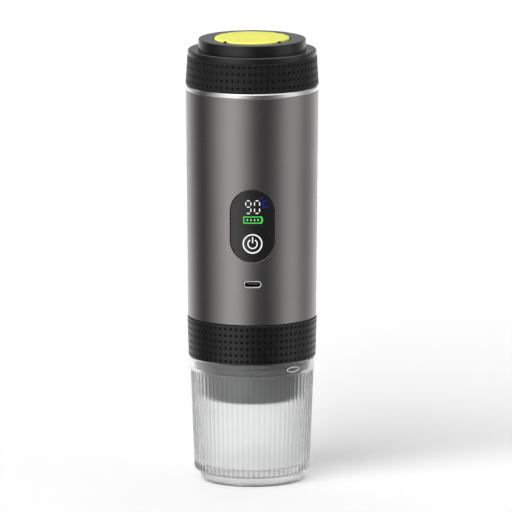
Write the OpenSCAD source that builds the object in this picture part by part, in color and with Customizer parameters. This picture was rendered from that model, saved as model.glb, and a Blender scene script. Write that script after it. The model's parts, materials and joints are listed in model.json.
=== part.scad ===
// Portable espresso maker: a drinking cup, a screw-on brew head, a battery and pump body and a screw lid.
// Frame: origin at the middle of the cup's foot, +Z up, the display faces -Y. Millimetres.

/* [Cup] */
// Height of the cup from the table to its rim
cup_h = 66.3; // [58:0.1:80]
// How far the cup's rim stands in from the body's lower edge
cup_step = 0.95; // [0.2:0.05:1.6]
// How much narrower the cup is at the lower end of its wall
cup_taper = 2.2; // [0.5:0.1:3.2]
// Wall thickness of the cup at the plain band
cup_wall = 2; // [1.4:0.1:2.6]
// Radius of the rounded corner below the wall
cup_corner = 2.6; // [1:0.1:3.5]
// How far the foot stands in from the lower end of the wall
foot_inset = 4.5; // [4:0.1:8]
// How much wider the foot grows on its way up to the wall
foot_flare = 1.8; // [0.5:0.1:2.2]
// Height of the foot ring
foot_h = 5; // [3:0.1:8]
// Radial width of the foot ring
foot_ring_w = 3.4; // [2:0.1:6]
// Height of the hollow under the cup
foot_hollow = 1.4; // [0.5:0.1:2.5]
// Thickness of the cup floor above the foot ring
cup_floor = 4; // [1.5:0.1:5]
// Height of the plain band under the rim
band_h = 6.2; // [5.5:0.1:10]
// Number of ribs moulded on the outside of the wall
rib_count = 69; // [24:1:90]
// Depth of the valleys between the ribs
rib_depth = 0.3; // [0.15:0.05:0.6]
// Radius of the corner between the cup's inside wall and its floor
inside_corner = 1.6; // [0.5:0.1:2.5]

/* [Brew head] */
// How far the brew chamber stands in from the thread root
chamber_inset = 2; // [1.9:0.1:3.1]
// Wall thickness of the brew chamber at its neck
chamber_wall = 2; // [1.4:0.1:3]
// Wall thickness of the pot that hangs in the cup
pot_wall = 1.8; // [0.6:0.1:1.8]
// Thickness of the chamber floor
chamber_floor = 2; // [1.5:0.1:3]
// Height of the drip skirt below the chamber floor
drip_skirt_h = 4.3; // [1:0.1:6]
// How far the flange that rests on the cup stands in from the cup's rim
rest_flange_inset = 1.3; // [1.2:0.1:1.7]
// Thickness of the flange that rests on the cup rim
rest_flange_t = 1.2; // [0.8:0.1:2]
// Thickness of the keeper ring that holds the collar on
keeper_t = 1.8; // [1:0.1:3]
// Radial width of the keeper ring
keeper_w = 2.35; // [1.2:0.05:2.7]
// Thickness radius of the cup seal ring
cup_seal_wire_r = 0.9; // [0.6:0.05:1.1]
// Depth of the coffee basket
basket_depth = 23; // [15:0.1:26]
// Sheet thickness of the coffee basket
basket_wall = 0.6; // [0.4:0.1:1]
// Thickness of the basket rim
basket_rim_t = 0.8; // [0.5:0.1:1.2]
// Radius of each hole in the basket floor
basket_hole_r = 0.6; // [0.3:0.05:0.9]
// Bore radius of the spout
spout_bore_r = 2.2; // [1:0.1:3]
// Wall thickness of the spout
spout_wall = 1.8; // [1:0.1:3]

/* [Collar] */
// Height of the collar between the cup rim and the body
collar_h = 21.1; // [18:0.1:30]
// Thickness of the lip that turns under the keeper ring
lip_t = 2.2; // [1.5:0.1:3]
// Wall thickness of the collar's hard core
collar_wall = 1.8; // [1.2:0.1:2.2]
// Thickness of the collar grip at its lower edge
grip_low_t = 1.6; // [1.2:0.1:3]
// Thickness of the collar grip at its upper edge
grip_top_t = 2.2; // [1.4:0.1:3.5]

/* [Threads] */
// How far the root of the outside threads stands in from the body's lower edge
thread_inset = 5.25; // [5:0.05:5.7]
// How far a thread ridge stands out
thread_depth = 1.15; // [0.8:0.05:1.2]
// Rise of a thread in one turn
thread_lead = 16; // [12:0.5:20]
// Number of thread starts
thread_starts = 4; // [2:1:4]
// Angle that one thread ridge runs for
thread_span = 70; // [40:5:80]
// Width of a ridge at its root
ridge_root_w = 1.6; // [1:0.1:1.6]
// Width of a ridge at its tip
ridge_tip_w = 0.9; // [0.5:0.1:1]

/* [Body] */
// Height of the metal body tube
body_h = 121; // [110:0.1:150]
// Outer radius of the body tube at its lower edge
body_low_r = 33.85; // [33.4:0.05:35]
// How much wider the body tube is at its upper edge
body_flare = 1.13; // [0.5:0.01:2.2]
// Wall thickness of the body tube
body_wall = 1.6; // [0.8:0.1:1.8]
// Width of the display window
window_w = 23.7; // [20:0.1:24]
// Height of the display window
window_h = 38.9; // [36:0.1:42]
// Height of the window's middle above the lower edge of the body
window_up = 53.2; // [48:0.05:60]
// Thickness of the display lens at its middle
lens_t = 3.2; // [2.6:0.1:4]
// Drop from the window's middle to the middle of the power button
button_drop = 9.45; // [8:0.05:10]
// Outer radius of the light ring round the power button
light_ring_r = 5.2; // [4.5:0.05:6]
// Radial width of the light ring
light_ring_w = 0.65; // [0.5:0.05:1.2]
// Travel of the power button
power_travel = 0.5; // [0.3:0.05:0.6]
// Height of the charging socket's middle above the lower edge of the body
usb_up = 22; // [20:0.1:25]

/* [Trim and lid] */
// Height of the polished trim ring
trim_h = 2.4; // [1.5:0.1:4]
// Radial width of the neck's shoulder inside the trim ring
neck_shoulder_w = 2.4; // [1.4:0.1:3.4]
// Height of the lid's grip
skirt_h = 15.4; // [14.5:0.1:24]
// Wall thickness of the lid's skirt
skirt_wall = 2.8; // [1.5:0.1:3]
// How far the lid grip's lower edge stands out past the body
lid_overhang = 0.14; // [0:0.02:0.9]
// How much narrower the lid grip is at its upper edge
lid_taper = 0.9; // [0:0.1:1.2]
// How far the lid's shoulder stands in from the top of its grip
shoulder_inset = 0.25; // [0.1:0.05:0.8]
// Height of the lid's shoulder
shoulder_h = 3.2; // [1.8:0.1:4]
// Thickness of the lid's inner web
web_t = 2.6; // [1.5:0.1:3]
// Height of the lid's upper disc
disc_h = 5.6; // [5.6:0.1:8]
// Width of the lid's ledge round the upper disc
ledge_w = 5.3; // [4.2:0.05:7]
// How much narrower the upper disc is at its top
disc_taper = 0.4; // [0:0.05:1.5]
// Width of the upper disc's top round the vent button
disc_rim_w = 8.3; // [6.5:0.1:12]
// How far the vent button stands above the lid
button_rise = 0.8; // [0.5:0.1:2.2]
// Travel of the vent button
vent_travel = 1.2; // [0.6:0.1:1.3]
// Number of anti-turn notches round the vent button
notch_count = 4; // [3:1:8]

/* [Water tank] */
// Sheet thickness of the water tank
tank_wall = 0.6; // [0.4:0.1:1]
// Radius of the tank's bottom corner
tank_corner = 3; // [1:0.1:6]
// Thickness of the heater plate under the tank
heater_t = 3.8; // [2:0.1:6]
// How far the heater plate stands in from the tank's wall
heater_inset = 2.9; // [0.9:0.1:6]

/* [Drive and power] */
// Gap between neighbouring battery cells
cell_gap = 3.1; // [2.9:0.1:6]
// Length of a battery cell
cell_l = 65; // [60:0.1:70]
// Thickness of the two chassis plates
plate_t = 2.5; // [1.5:0.1:4]
// Radius of a chassis post
post_r = 2; // [1.5:0.1:2.5]
// Radius of the pump motor
motor_r = 10.5; // [9:0.1:10.8]
// Length of the pump motor
motor_l = 36; // [25:0.1:45]
// Radius of the motor shaft and the idler pin
shaft_r = 1.5; // [1:0.05:1.7]
// Pitch radius of the two pump gears
gear_pitch_r = 4; // [3.8:0.05:4.2]
// Number of teeth on each pump gear
gear_teeth = 10; // [8:1:12]
// Height of the pump gears
gear_h = 8.5; // [6:0.1:10]
// Radius of the pump housing
pump_r = 13; // [12:0.1:13.4]
// Bore radius of the two water pipes
pipe_bore_r = 1.6; // [1:0.1:1.8]
// Wall thickness of the two water pipes
pipe_wall = 0.8; // [0.5:0.1:1]
// Thickness of the circuit boards
board_t = 1.2; // [0.8:0.1:1.6]

/* [Clearances] */
// Axial gap between parts that turn against each other
turn_gap = 0.3; // [0.2:0.05:0.5]
// Radial gap between parts that turn or lift past each other
slip_gap = 0.4; // [0.3:0.05:0.5]
// Gap at a flat seat that opens
seat_gap = 0.1; // [0.05:0.05:0.2]
// Radial gap of a fixed part in its seat
fit_gap = 0.05; // [0.02:0.01:0.1]
// Radial clearance of a shaft in its bearing
run_gap = 0.05; // [0.02:0.01:0.1]

/* [Hidden] */
$fn = 96;

// Small edge breaks shared by many parts
edge = 0.4;
cut_margin = 1;

// Main radii, all taken from the body's lower edge
body_top_r = body_low_r + body_flare;
cup_rim_r = body_low_r - cup_step;
cup_base_r = cup_rim_r - cup_taper;
foot_r = cup_base_r - foot_inset;
thread_r = body_low_r - thread_inset;
thread_room = 1.6;
female_r = thread_r + thread_room;
chamber_r = thread_r - chamber_inset;
lid_grip_low_r = body_top_r + lid_overhang;
lid_grip_top_r = lid_grip_low_r - lid_taper;
shoulder_r = lid_grip_top_r - shoulder_inset;
disc_low_r = shoulder_r - ledge_w;
disc_top_r = disc_low_r - disc_taper;
button_r = disc_top_r - disc_rim_w;

// Cup levels and radii
wall_z = foot_h + cup_corner;
floor_z = foot_h + cup_floor;
band_z = cup_h - band_h;
function cup_r(z) = cup_base_r + (cup_rim_r - cup_base_r) * (z - wall_z) / (cup_h - wall_z);
cup_bore_r = cup_r(band_z) - cup_wall;
cup_low_bore_r = cup_r(max(floor_z, wall_z)) - cup_wall;
rib_inset = 0.1;
rib_steps = 6;

// Brew head levels and radii
spigot_r = cup_bore_r - slip_gap;
spigot_z = band_z + turn_gap;
flange_z = cup_h + seat_gap;
flange_top = flange_z + rest_flange_t;
lip_z = flange_top + turn_gap;
lip_top = lip_z + lip_t;
keeper_z = lip_top + turn_gap;
keeper_top = keeper_z + keeper_t;
keeper_r = chamber_r + fit_gap + keeper_w;
rest_flange_r = cup_rim_r - rest_flange_inset;
neck_lead = 1.8;
neck_top = keeper_top + neck_lead;
basket_top = neck_top + basket_rim_t;
basket_gap = 1;
chamber_floor_top = neck_top - basket_depth - basket_gap;
chamber_floor_z = chamber_floor_top - chamber_floor;
chamber_z = chamber_floor_z - drip_skirt_h;
chamber_bore_r = chamber_r - chamber_wall;
pot_r = chamber_bore_r + pot_wall;
basket_r = chamber_bore_r - slip_gap;
basket_rim_r = chamber_r - edge / 2;
seal_squeeze = 0.15;
seal_ring_r = spigot_r + seal_squeeze - cup_seal_wire_r;
seal_drop = 2.8;
seal_z = flange_z - seal_drop;
spout_r = spout_bore_r + spout_wall;
spout_flange_w = 2;
spout_tip_up = 0.8;
basket_hole_pitch = 4.6;

// Collar levels and radii
collar_core_r = female_r + collar_wall;
grip_low_r = collar_core_r + grip_low_t;
grip_top_r = collar_core_r + grip_top_t;
collar_z = cup_h + turn_gap;
collar_top = collar_z + collar_h;
ridge_pitch = thread_lead / thread_starts;
ridge_sink = 0.4;
ridge_steps = 8;

// Body levels and radii
body_z = collar_top + turn_gap;
body_top = body_z + body_h;
function body_r(z) = body_low_r + (body_top_r - body_low_r) * (z - body_z) / body_h;
function body_bore_r(z) = body_r(z) - body_wall;
window_z = body_z + window_up;
window_r = body_r(window_z);
button_z = window_z - button_drop;
lens_back = window_r - lens_t;
front_reach = body_top_r + cut_margin;
usb_z = body_z + usb_up;
usb_recess = 0.35;
usb_front = body_r(usb_z) - usb_recess;

// Group head levels and radii
gasket_t = 2.3;
gasket_z = basket_top + seat_gap;
head_spigot_z = gasket_z + edge;
head_spigot_wall = 1.9;
gasket_top = gasket_z + gasket_t;
gasket_r = thread_r - head_spigot_wall - fit_gap;
gasket_bore_r = basket_r - basket_wall;
screen_t = 0.8;
screen_gap = 0.6;
screen_z = gasket_top + screen_gap;
screen_hole_pitch = 4.9;
shower_r = chamber_bore_r + edge;
screen_r = shower_r - slip_gap;
screen_boss_r = 5;
screen_boss_h = 5;
head_floor_z = screen_z + screen_t + screen_boss_h;
head_plate_t = 3.5;
head_plate_top = body_z + head_plate_t;
head_rim_h = 4;
head_rim_w = 1.8;
head_top = head_plate_top + head_rim_h;
head_thread_up = 2;
head_thread_z = head_spigot_z + head_thread_up;

// Chassis, cells and boards
lower_plate_z = head_top;
bay_z = lower_plate_z + plate_t;
link_t = 0.3;
link_w = 6;
bay_top = bay_z + cell_l + link_t + turn_gap;
upper_plate_top = bay_top + plate_t;
plate_gap = 0.5;
lower_plate_r = body_bore_r(lower_plate_z) - plate_gap;
upper_plate_r = body_bore_r(bay_top) - plate_gap;
cell_wall_gap = 1.5;
cell_angles = [30, 90, 150];
cell_ring_r = 2 * (body_bore_r(bay_z) - cell_wall_gap + cell_gap / 2) / 3;
cell_r = (cell_ring_r - cell_gap) / 2;
terminal_r = 3.7;
post_edge = 1.2;
post_ring_r = lower_plate_r - post_r - post_edge;
post_angles = [-18, 60, 120, 198];
main_board_x = -17.5;
main_board_rear = -4;
main_board_edge = 2.2;
main_board_front = -sqrt(pow(lower_plate_r - main_board_edge, 2) - pow(main_board_x, 2));
board_part_t = 1.5;
board_part_w = 7;
board_part_h = 8;
board_part_in = 3;
board_part_up = 8;
board_part_pitch = 13;

// Water tank and heater
heater_z = upper_plate_top;
tank_z = heater_z + heater_t;
neck_wall = 1.6;
neck_bore_r = thread_r - neck_wall;
tank_r = neck_bore_r - fit_gap * 2;
tank_rim_t = tank_wall;
tank_rim_r = thread_r - edge / 2;
heater_r = tank_r - heater_inset;
sensor_r = 2.4;
sensor_x = 10;

// Lid levels and radii
trim_top = body_top + trim_h;
trim_bore_r = thread_r + neck_shoulder_w;
lid_z = trim_top + turn_gap;
shoulder_z = lid_z + skirt_h;
web_top = shoulder_z + shoulder_h;
web_z = web_top - web_t;
disc_top = web_top + disc_h;
plug_gap = 0.5;
plug_flange_t = 2.1;
lid_gasket_t = 1.5;
plug_flange_top = web_z - plug_gap;
plug_flange_z = plug_flange_top - plug_flange_t;
lid_gasket_z = plug_flange_z - lid_gasket_t;
neck_end = lid_gasket_z - seat_gap - tank_rim_t;
neck_flange_h = 5;
skirt_r = female_r + skirt_wall;
lid_thread_up = 2.2;
lid_thread_z = lid_z + lid_thread_up;
neck_thread_z = lid_thread_z + ridge_pitch / 2;
plug_depth = 8;
plug_z = plug_flange_z - plug_depth;
plug_r = tank_r - tank_wall - slip_gap;
plug_wall = 1.5;
plug_floor = 2;
plug_boss_r = 8;
clip_t = 1.3;
clip_w = 3;
clip_z = web_top + turn_gap;
clip_top = clip_z + clip_t;

// Vent button levels and radii
button_lip = 2;
button_flange_w = 1.1;
button_flange_t = 1.1;
button_flange_gap = 0.2;
button_flange_top = disc_top - button_lip - button_flange_gap;
button_flange_z = button_flange_top - button_flange_t;
button_gap = 0.25;
button_bore_r = button_r + button_gap;
button_well_r = button_r + button_flange_w + slip_gap;
button_top = disc_top + button_rise;
button_edge = 0.9;
button_crown = 0.15;
button_skin = 2;
button_under_z = button_top - button_skin;
button_wall = 2.5;
notch_w = 1.8;
notch_depth = 1;
key_w = 1.2;
stem_r = 2.4;
vent_bore_r = stem_r + slip_gap;
stem_boss_wall = 1.2;
stem_boss_z = clip_top + vent_travel + turn_gap;
vent_seal_t = 1.5;
vent_seal_r = 6;
vent_seal_z = plug_z - seat_gap - vent_seal_t;
stem_head_t = 1;
stem_head_r = 3.6;
spring_t = 0.6;
spring_low_r = 9.5;
spring_top_r = 5;

// Pump levels and places
motor_y = -2;
idler_y = motor_y - 2 * gear_pitch_r;
pump_shift = 1.5;
pump_y = (motor_y + idler_y) / 2 + pump_shift;
pump_floor = 3;
bearing_floor = 1;
pump_z = bay_z;
gear_room_z = pump_z + pump_floor;
gear_gap = 0.25;
pump_cover_z = gear_room_z + gear_h + 2 * gear_gap;
pump_cover_t = 2;
pump_cover_top = pump_cover_z + pump_cover_t;
motor_boss_r = 6;
motor_boss_h = 2;
motor_z = pump_cover_top + motor_boss_h;
motor_top = motor_z + motor_l;
rear_boss_r = 4;
rear_boss_h = 1.5;
shaft_out = 1;
tooth_out = 0.7;
tooth_in = 0.95;
gear_tip_r = gear_pitch_r + tooth_out;
gear_root_r = gear_pitch_r - tooth_in;
gear_room_gap = 0.3;
gear_bore_r = gear_tip_r + gear_room_gap;
press_gap = 0.02;
tooth_root_half = 9.5;
tooth_tip_half = 4;
screw_ring_r = 10.4;
screw_head_r = 1.9;
screw_head_t = 1.5;
screw_shank_r = 1.2;
screw_l = 7;
screen_screw_head_r = 2.9;
pipe_r = pipe_bore_r + pipe_wall;
inlet_x = 12.2;
inlet_y = -8.2;
inlet_boss_wall = 1.2;
inlet_boss_r = pipe_r + inlet_boss_wall;
channel_r = 1.3;
outlet_x = -3.4;
outlet_y = motor_y - gear_pitch_r;

// Display and socket
digit_w = 17;
digit_h = 16;
digit_t = 2.4;
digit_up = 7.6;
display_depth = 2.6;
display_board_back = lens_back - display_depth;
display_board_rear = display_board_back - board_t;
display_board_margin = 1.3;
switch_size = 6;
switch_t = 1.4;
plunger_r = 1.4;
power_cap_r = light_ring_r - light_ring_w - seat_gap;
usb_w = 8.94;
usb_t = 3.26;
usb_sheet = 0.32;
usb_l = 7.3;
usb_floor = 0.8;
usb_slot_gap = 0.2;
tongue_w = 6.6;
tongue_t = 0.7;
tongue_l = 4.5;
usb_board_w = 13;
usb_board_l = 10;
usb_board_back = 2;
usb_pedestal_w = 10;
usb_pedestal_l = 6;

// Points of a circular arc, used inside outlines
function arc(c, r, a0, a1, n = 6) =
  [for (i = [0:n]) let (a = a0 + (a1 - a0) * i / n) [c[0] + r * cos(a), c[1] + r * sin(a)]];

// Solid of revolution about Z from an outline of [radius, height] points
module turned(points) {
  rotate_extrude() polygon(points);
}

// Plain ring between two heights
module ring(r_out, r_in, z0, z1) {
  turned([[r_in, z0], [r_out, z0], [r_out, z1], [r_in, z1]]);
}

// Outline with two full round ends, taller than wide
module pill(w, h) {
  square([w, h - w], center = true);
  for (s = [-1, 1]) translate([0, s * (h - w) / 2]) circle(d = w);
}

// Carries an outline drawn in X and Z from y = -back out to y = -front
module to_front(back, front) {
  translate([0, -back, 0]) rotate([90, 0, 0]) linear_extrude(front - back) children();
}

// The body's outer cone as one solid, drawn in by inset
module body_cone(inset) {
  translate([0, 0, body_z]) cylinder(h = body_h, r1 = body_low_r - inset, r2 = body_top_r - inset);
}

// One thread ridge swept up a helix; it stands out from base_r to tip_r
module thread_ridge(base_r, tip_r, z0) {
  section = [
    [base_r, -ridge_root_w / 2], [tip_r, -ridge_tip_w / 2],
    [tip_r, ridge_tip_w / 2], [base_r, ridge_root_w / 2]
  ];
  rings = [for (i = [0:ridge_steps]) thread_span * i / ridge_steps];
  points = [for (a = rings, p = section) [p[0] * cos(a), p[0] * sin(a), z0 + thread_lead * a / 360 + p[1]]];
  last = 4 * ridge_steps;
  sides = [for (i = [0:ridge_steps - 1], j = [0:3], t = [0, 1])
    let (p = 4 * i + j, q = 4 * i + (j + 1) % 4)
    t == 0 ? [p, q, q + 4] : [p, q + 4, p + 4]];
  ends = [[0, 2, 1], [0, 3, 2], [last, last + 1, last + 2], [last, last + 2, last + 3]];
  outward = tip_r > base_r;
  faces = [for (f = concat(sides, ends)) outward ? f : [f[2], f[1], f[0]]];
  polyhedron(points, faces);
}

// A full set of ridges on an outside thread
module male_thread(z0) {
  for (i = [0:thread_starts - 1])
    rotate(360 * i / thread_starts) thread_ridge(thread_r - ridge_sink, thread_r + thread_depth, z0);
}

// A full set of ridges in an inside thread
module female_thread(z0) {
  for (i = [0:thread_starts - 1])
    rotate(360 * i / thread_starts) thread_ridge(female_r + ridge_sink, female_r - thread_depth, z0);
}

// Outline of the ribbed wall: rounded ribs that meet in sharp valleys
function rib_outline(r) = [
  for (i = [0:rib_count * rib_steps - 1])
  let (a = 360 * i / (rib_count * rib_steps), side = 2 * (i % rib_steps) / rib_steps - 1)
  (r - rib_depth * side * side) * [cos(a), sin(a)]
];

// What is cut away between the ribs, from the foot up to the plain band
module rib_valleys() {
  low = foot_h - cut_margin;
  high = band_z + cut_margin;
  low_r = cup_r(low) - rib_inset;
  difference() {
    translate([0, 0, foot_h]) cylinder(h = band_z - foot_h, r = cup_rim_r + cut_margin);
    translate([0, 0, low]) linear_extrude(height = high - low, scale = (cup_r(high) - rib_inset) / low_r)
      polygon(rib_outline(low_r));
  }
}

// Cup: frosted wall on a foot ring, ribbed outside, with a plain band under the rim
module cup() color([0.9, 0.91, 0.92, 0.5]) {
  corner = arc([cup_base_r - cup_corner, wall_z], cup_corner, -90, 0);
  difference() {
    turned(concat(
      [[0, foot_hollow], [foot_r - foot_ring_w, foot_hollow], [foot_r - foot_ring_w, 0]],
      arc([foot_r - 2 * edge, 2 * edge], 2 * edge, -90, 0, 4),
      [[foot_r + foot_flare, foot_h - edge], [cup_base_r - cup_corner - edge, foot_h]],
      corner,
      [[cup_r(cup_h - edge), cup_h - edge], [cup_rim_r - edge, cup_h], [0, cup_h]]
    ));
    rib_valleys();
    turned(concat(
      [[0, floor_z]],
      arc([cup_low_bore_r - inside_corner, floor_z + inside_corner], inside_corner, -90, 0),
      [[cup_bore_r, band_z], [cup_bore_r, cup_h + cut_margin], [0, cup_h + cut_margin]]
    ));
  }
}

// Brew chamber: hangs in the cup, rests on its rim, holds the basket
module brew_chamber() color([0.42, 0.42, 0.43]) difference() {
  turned([
    [0, chamber_floor_z], [chamber_bore_r, chamber_floor_z], [chamber_bore_r, chamber_z],
    [pot_r - edge, chamber_z], [pot_r, chamber_z + edge],
    [pot_r, spigot_z], [spigot_r - edge, spigot_z], [spigot_r, spigot_z + edge],
    [spigot_r, flange_z], [rest_flange_r, flange_z], [rest_flange_r, flange_top],
    [chamber_r, flange_top], [chamber_r, neck_top],
    [chamber_bore_r, neck_top], [chamber_bore_r, chamber_floor_top], [0, chamber_floor_top]
  ]);
  ring(spigot_r + cut_margin, seal_ring_r - cup_seal_wire_r - fit_gap,
    seal_z - cup_seal_wire_r - fit_gap, seal_z + cup_seal_wire_r + fit_gap);
  translate([0, 0, chamber_z])
    cylinder(h = chamber_floor_top - chamber_z + cut_margin, r = spout_r + fit_gap);
}

// Keeper ring: holds the turning collar on the chamber's neck
module keeper_ring() color([0.3, 0.3, 0.31]) ring(keeper_r, chamber_r + fit_gap, keeper_z, keeper_top);

// Cup seal: silicone ring in the spigot's groove
module cup_seal() color([0.15, 0.15, 0.15])
  translate([0, 0, seal_z]) rotate_extrude() translate([seal_ring_r, 0]) circle(r = cup_seal_wire_r);

// Spout: nozzle pressed through the chamber floor
module spout() color([0.2, 0.2, 0.2]) turned([
  [spout_bore_r, chamber_z + spout_tip_up], [spout_r, chamber_z + spout_tip_up], [spout_r, chamber_floor_top],
  [spout_r + spout_flange_w, chamber_floor_top], [spout_r + spout_flange_w, chamber_floor_top + basket_wall],
  [spout_bore_r, chamber_floor_top + basket_wall]
]);

// Rings of small holes through a disc, with the middle left whole where asked
module hole_rings(rings, pitch, hole_r, z0, h) {
  for (k = rings, i = [0:6 * k - 1])
    rotate(60 / k * i) translate([pitch * k, 0, z0]) cylinder(h = h, r = hole_r);
}

// Coffee basket: drawn steel cup with a drilled floor
module coffee_basket() color([0.75, 0.75, 0.76]) {
  z0 = neck_top - basket_depth;
  difference() {
    turned([
      [0, z0], [basket_r - basket_wall, z0], [basket_r, z0 + basket_wall], [basket_r, neck_top],
      [basket_rim_r, neck_top], [basket_rim_r, basket_top], [basket_r - basket_wall, basket_top],
      [basket_r - basket_wall, z0 + basket_wall], [0, z0 + basket_wall]
    ]);
    hole_rings([2:4], basket_hole_pitch, basket_hole_r, z0 - cut_margin, basket_wall + 2 * cut_margin);
  }
}

// Collar core: turning nut that draws the body down onto the brew chamber
module collar_core() color([0.1, 0.1, 0.1]) {
  turned([
    [chamber_r + slip_gap, lip_z], [collar_core_r, lip_z], [collar_core_r, collar_top],
    [female_r, collar_top], [female_r, lip_top], [chamber_r + slip_gap, lip_top]
  ]);
  female_thread(head_thread_z + ridge_pitch / 2);
}

// Collar grip: silicone sleeve round the collar core
module collar_grip() color([0.09, 0.09, 0.09]) turned([
  [collar_core_r, collar_z], [grip_low_r - edge, collar_z], [grip_low_r, collar_z + edge],
  [grip_top_r, collar_top - edge], [grip_top_r - edge, collar_top], [collar_core_r, collar_top]
]);

// Body tube: tapered metal skin with the window and the socket slot
module body_tube() color([0.36, 0.35, 0.35]) difference() {
  turned([
    [body_bore_r(body_z), body_z], [body_low_r - edge, body_z], [body_r(body_z + edge), body_z + edge],
    [body_r(body_top - edge), body_top - edge], [body_top_r - edge, body_top],
    [body_bore_r(body_top), body_top]
  ]);
  translate([0, 0, window_z]) to_front(lens_back - cut_margin, front_reach) pill(window_w, window_h);
  translate([0, 0, usb_z]) to_front(lens_back - cut_margin, front_reach)
    rotate(90) pill(usb_t + 2 * usb_slot_gap, usb_w + 2 * usb_slot_gap);
}

// Trim ring: polished metal ring between the body and the lid
module trim_ring() color([0.85, 0.85, 0.86]) turned([
  [trim_bore_r, body_top], [body_top_r, body_top], [body_top_r, trim_top - 2 * edge],
  [body_top_r - edge, trim_top], [trim_bore_r, trim_top]
]);

// Neck ring: threaded mouth of the body that the lid screws onto
module neck_ring() color([0.08, 0.08, 0.08]) {
  flange_r = body_bore_r(body_top - neck_flange_h) - fit_gap * 2;
  turned([
    [neck_bore_r, body_top - neck_flange_h], [flange_r, body_top - neck_flange_h], [flange_r, body_top],
    [trim_bore_r - fit_gap * 2, body_top], [trim_bore_r - fit_gap * 2, trim_top],
    [thread_r, trim_top], [thread_r, neck_end], [neck_bore_r, neck_end]
  ]);
  male_thread(neck_thread_z);
}

// Group head: closes the body below and carries the lower outside thread
module group_head() color([0.12, 0.12, 0.12]) {
  plate_edge = body_bore_r(body_z) - fit_gap * 2;
  difference() {
    turned([
      [0, screen_z + screen_t], [screen_boss_r, screen_z + screen_t], [screen_boss_r, head_floor_z],
      [shower_r, head_floor_z], [shower_r, gasket_top], [gasket_r + fit_gap, gasket_top],
      [gasket_r + fit_gap, head_spigot_z], [thread_r, head_spigot_z], [thread_r, body_z],
      [plate_edge, body_z], [plate_edge, head_top], [plate_edge - head_rim_w, head_top],
      [plate_edge - head_rim_w, head_plate_top], [0, head_plate_top]
    ]);
    translate([outlet_x, outlet_y, head_floor_z - cut_margin])
      cylinder(h = head_plate_top - head_floor_z + 2 * cut_margin, r = pipe_bore_r);
    translate([0, 0, screen_z]) cylinder(h = screen_boss_h, r = screw_shank_r + fit_gap);
  }
  male_thread(head_thread_z);
}

// Head gasket: seals the group head on the basket rim
module head_gasket() color([0.55, 0.2, 0.15]) ring(gasket_r, gasket_bore_r, gasket_z, gasket_top);

// Shower screen: drilled disc that spreads the water
module shower_screen() color([0.78, 0.78, 0.79]) difference() {
  ring(screen_r, screw_shank_r + fit_gap, screen_z, screen_z + screen_t);
  hole_rings([2:4], screen_hole_pitch, basket_hole_r, screen_z - cut_margin, screen_t + 2 * cut_margin);
}

// Screen screw: holds the shower screen on its boss
module screen_screw() color([0.7, 0.7, 0.7]) turned([
  [0, screen_z - screw_head_t], [screen_screw_head_r, screen_z - screw_head_t],
  [screen_screw_head_r, screen_z], [screw_shank_r, screen_z],
  [screw_shank_r, screen_z + screen_boss_h - edge], [0, screen_z + screen_boss_h - edge]
]);

// Water tank: drawn steel pot that hangs in the neck ring
module water_tank() color([0.8, 0.8, 0.81]) {
  inner_corner = tank_corner - tank_wall;
  outside = arc([tank_r - tank_corner, tank_z + tank_corner], tank_corner, -90, 0);
  inside = arc([tank_r - tank_corner, tank_z + tank_corner], inner_corner, 0, -90);
  difference() {
    turned(concat(
      [[0, tank_z]], outside,
      [[tank_r, neck_end], [tank_rim_r, neck_end], [tank_rim_r, neck_end + tank_rim_t],
        [tank_r - tank_wall, neck_end + tank_rim_t]],
      inside, [[0, tank_z + tank_wall]]
    ));
    translate([inlet_x, inlet_y, tank_z - cut_margin])
      cylinder(h = tank_wall + 2 * cut_margin, r = pipe_bore_r);
  }
}

// Heater plate: clamped under the tank, drilled for the pipe and the sensor
module heater_plate() color([0.6, 0.58, 0.55]) difference() {
  translate([0, 0, heater_z]) cylinder(h = heater_t, r = heater_r);
  translate([inlet_x, inlet_y, heater_z - cut_margin])
    cylinder(h = heater_t + 2 * cut_margin, r = pipe_r + slip_gap);
  translate([sensor_x, 0, heater_z - cut_margin])
    cylinder(h = heater_t + 2 * cut_margin, r = sensor_r + fit_gap);
}

// Temperature sensor: bead in the heater plate against the tank floor
module temp_sensor() color([0.9, 0.9, 0.85])
  translate([sensor_x, 0, heater_z]) cylinder(h = heater_t - seat_gap, r = sensor_r);

// Lower chassis plate: floor of the battery bay, with the socket's pedestal
module lower_chassis_plate() color([0.2, 0.2, 0.22]) {
  pedestal_y = -usb_front + usb_board_back + usb_board_l - usb_pedestal_l;
  difference() {
    union() {
      translate([0, 0, lower_plate_z]) cylinder(h = plate_t, r = lower_plate_r);
      translate([-usb_pedestal_w / 2, pedestal_y, lower_plate_z])
        cube([usb_pedestal_w, usb_pedestal_l, usb_z - usb_t / 2 - board_t - lower_plate_z]);
    }
    translate([outlet_x, outlet_y, lower_plate_z - cut_margin])
      cylinder(h = plate_t + 2 * cut_margin, r = pipe_r + slip_gap);
  }
}

// Upper chassis plate: roof of the battery bay, carries the heater, flat in front behind the display
module upper_chassis_plate() color([0.2, 0.2, 0.22]) difference() {
  translate([0, 0, bay_top]) cylinder(h = plate_t, r = upper_plate_r);
  translate([inlet_x, inlet_y, bay_top - cut_margin])
    cylinder(h = plate_t + 2 * cut_margin, r = pipe_r + slip_gap);
  translate([-front_reach, -front_reach, bay_top - cut_margin])
    cube([2 * front_reach, front_reach - display_board_rear + plate_gap, plate_t + 2 * cut_margin]);
}

// Chassis posts: rods that tie the two plates together
module chassis_posts() color([0.7, 0.65, 0.4])
  for (a = post_angles)
    rotate(a) translate([post_ring_r, 0, bay_z]) cylinder(h = bay_top - bay_z, r = post_r);

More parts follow.
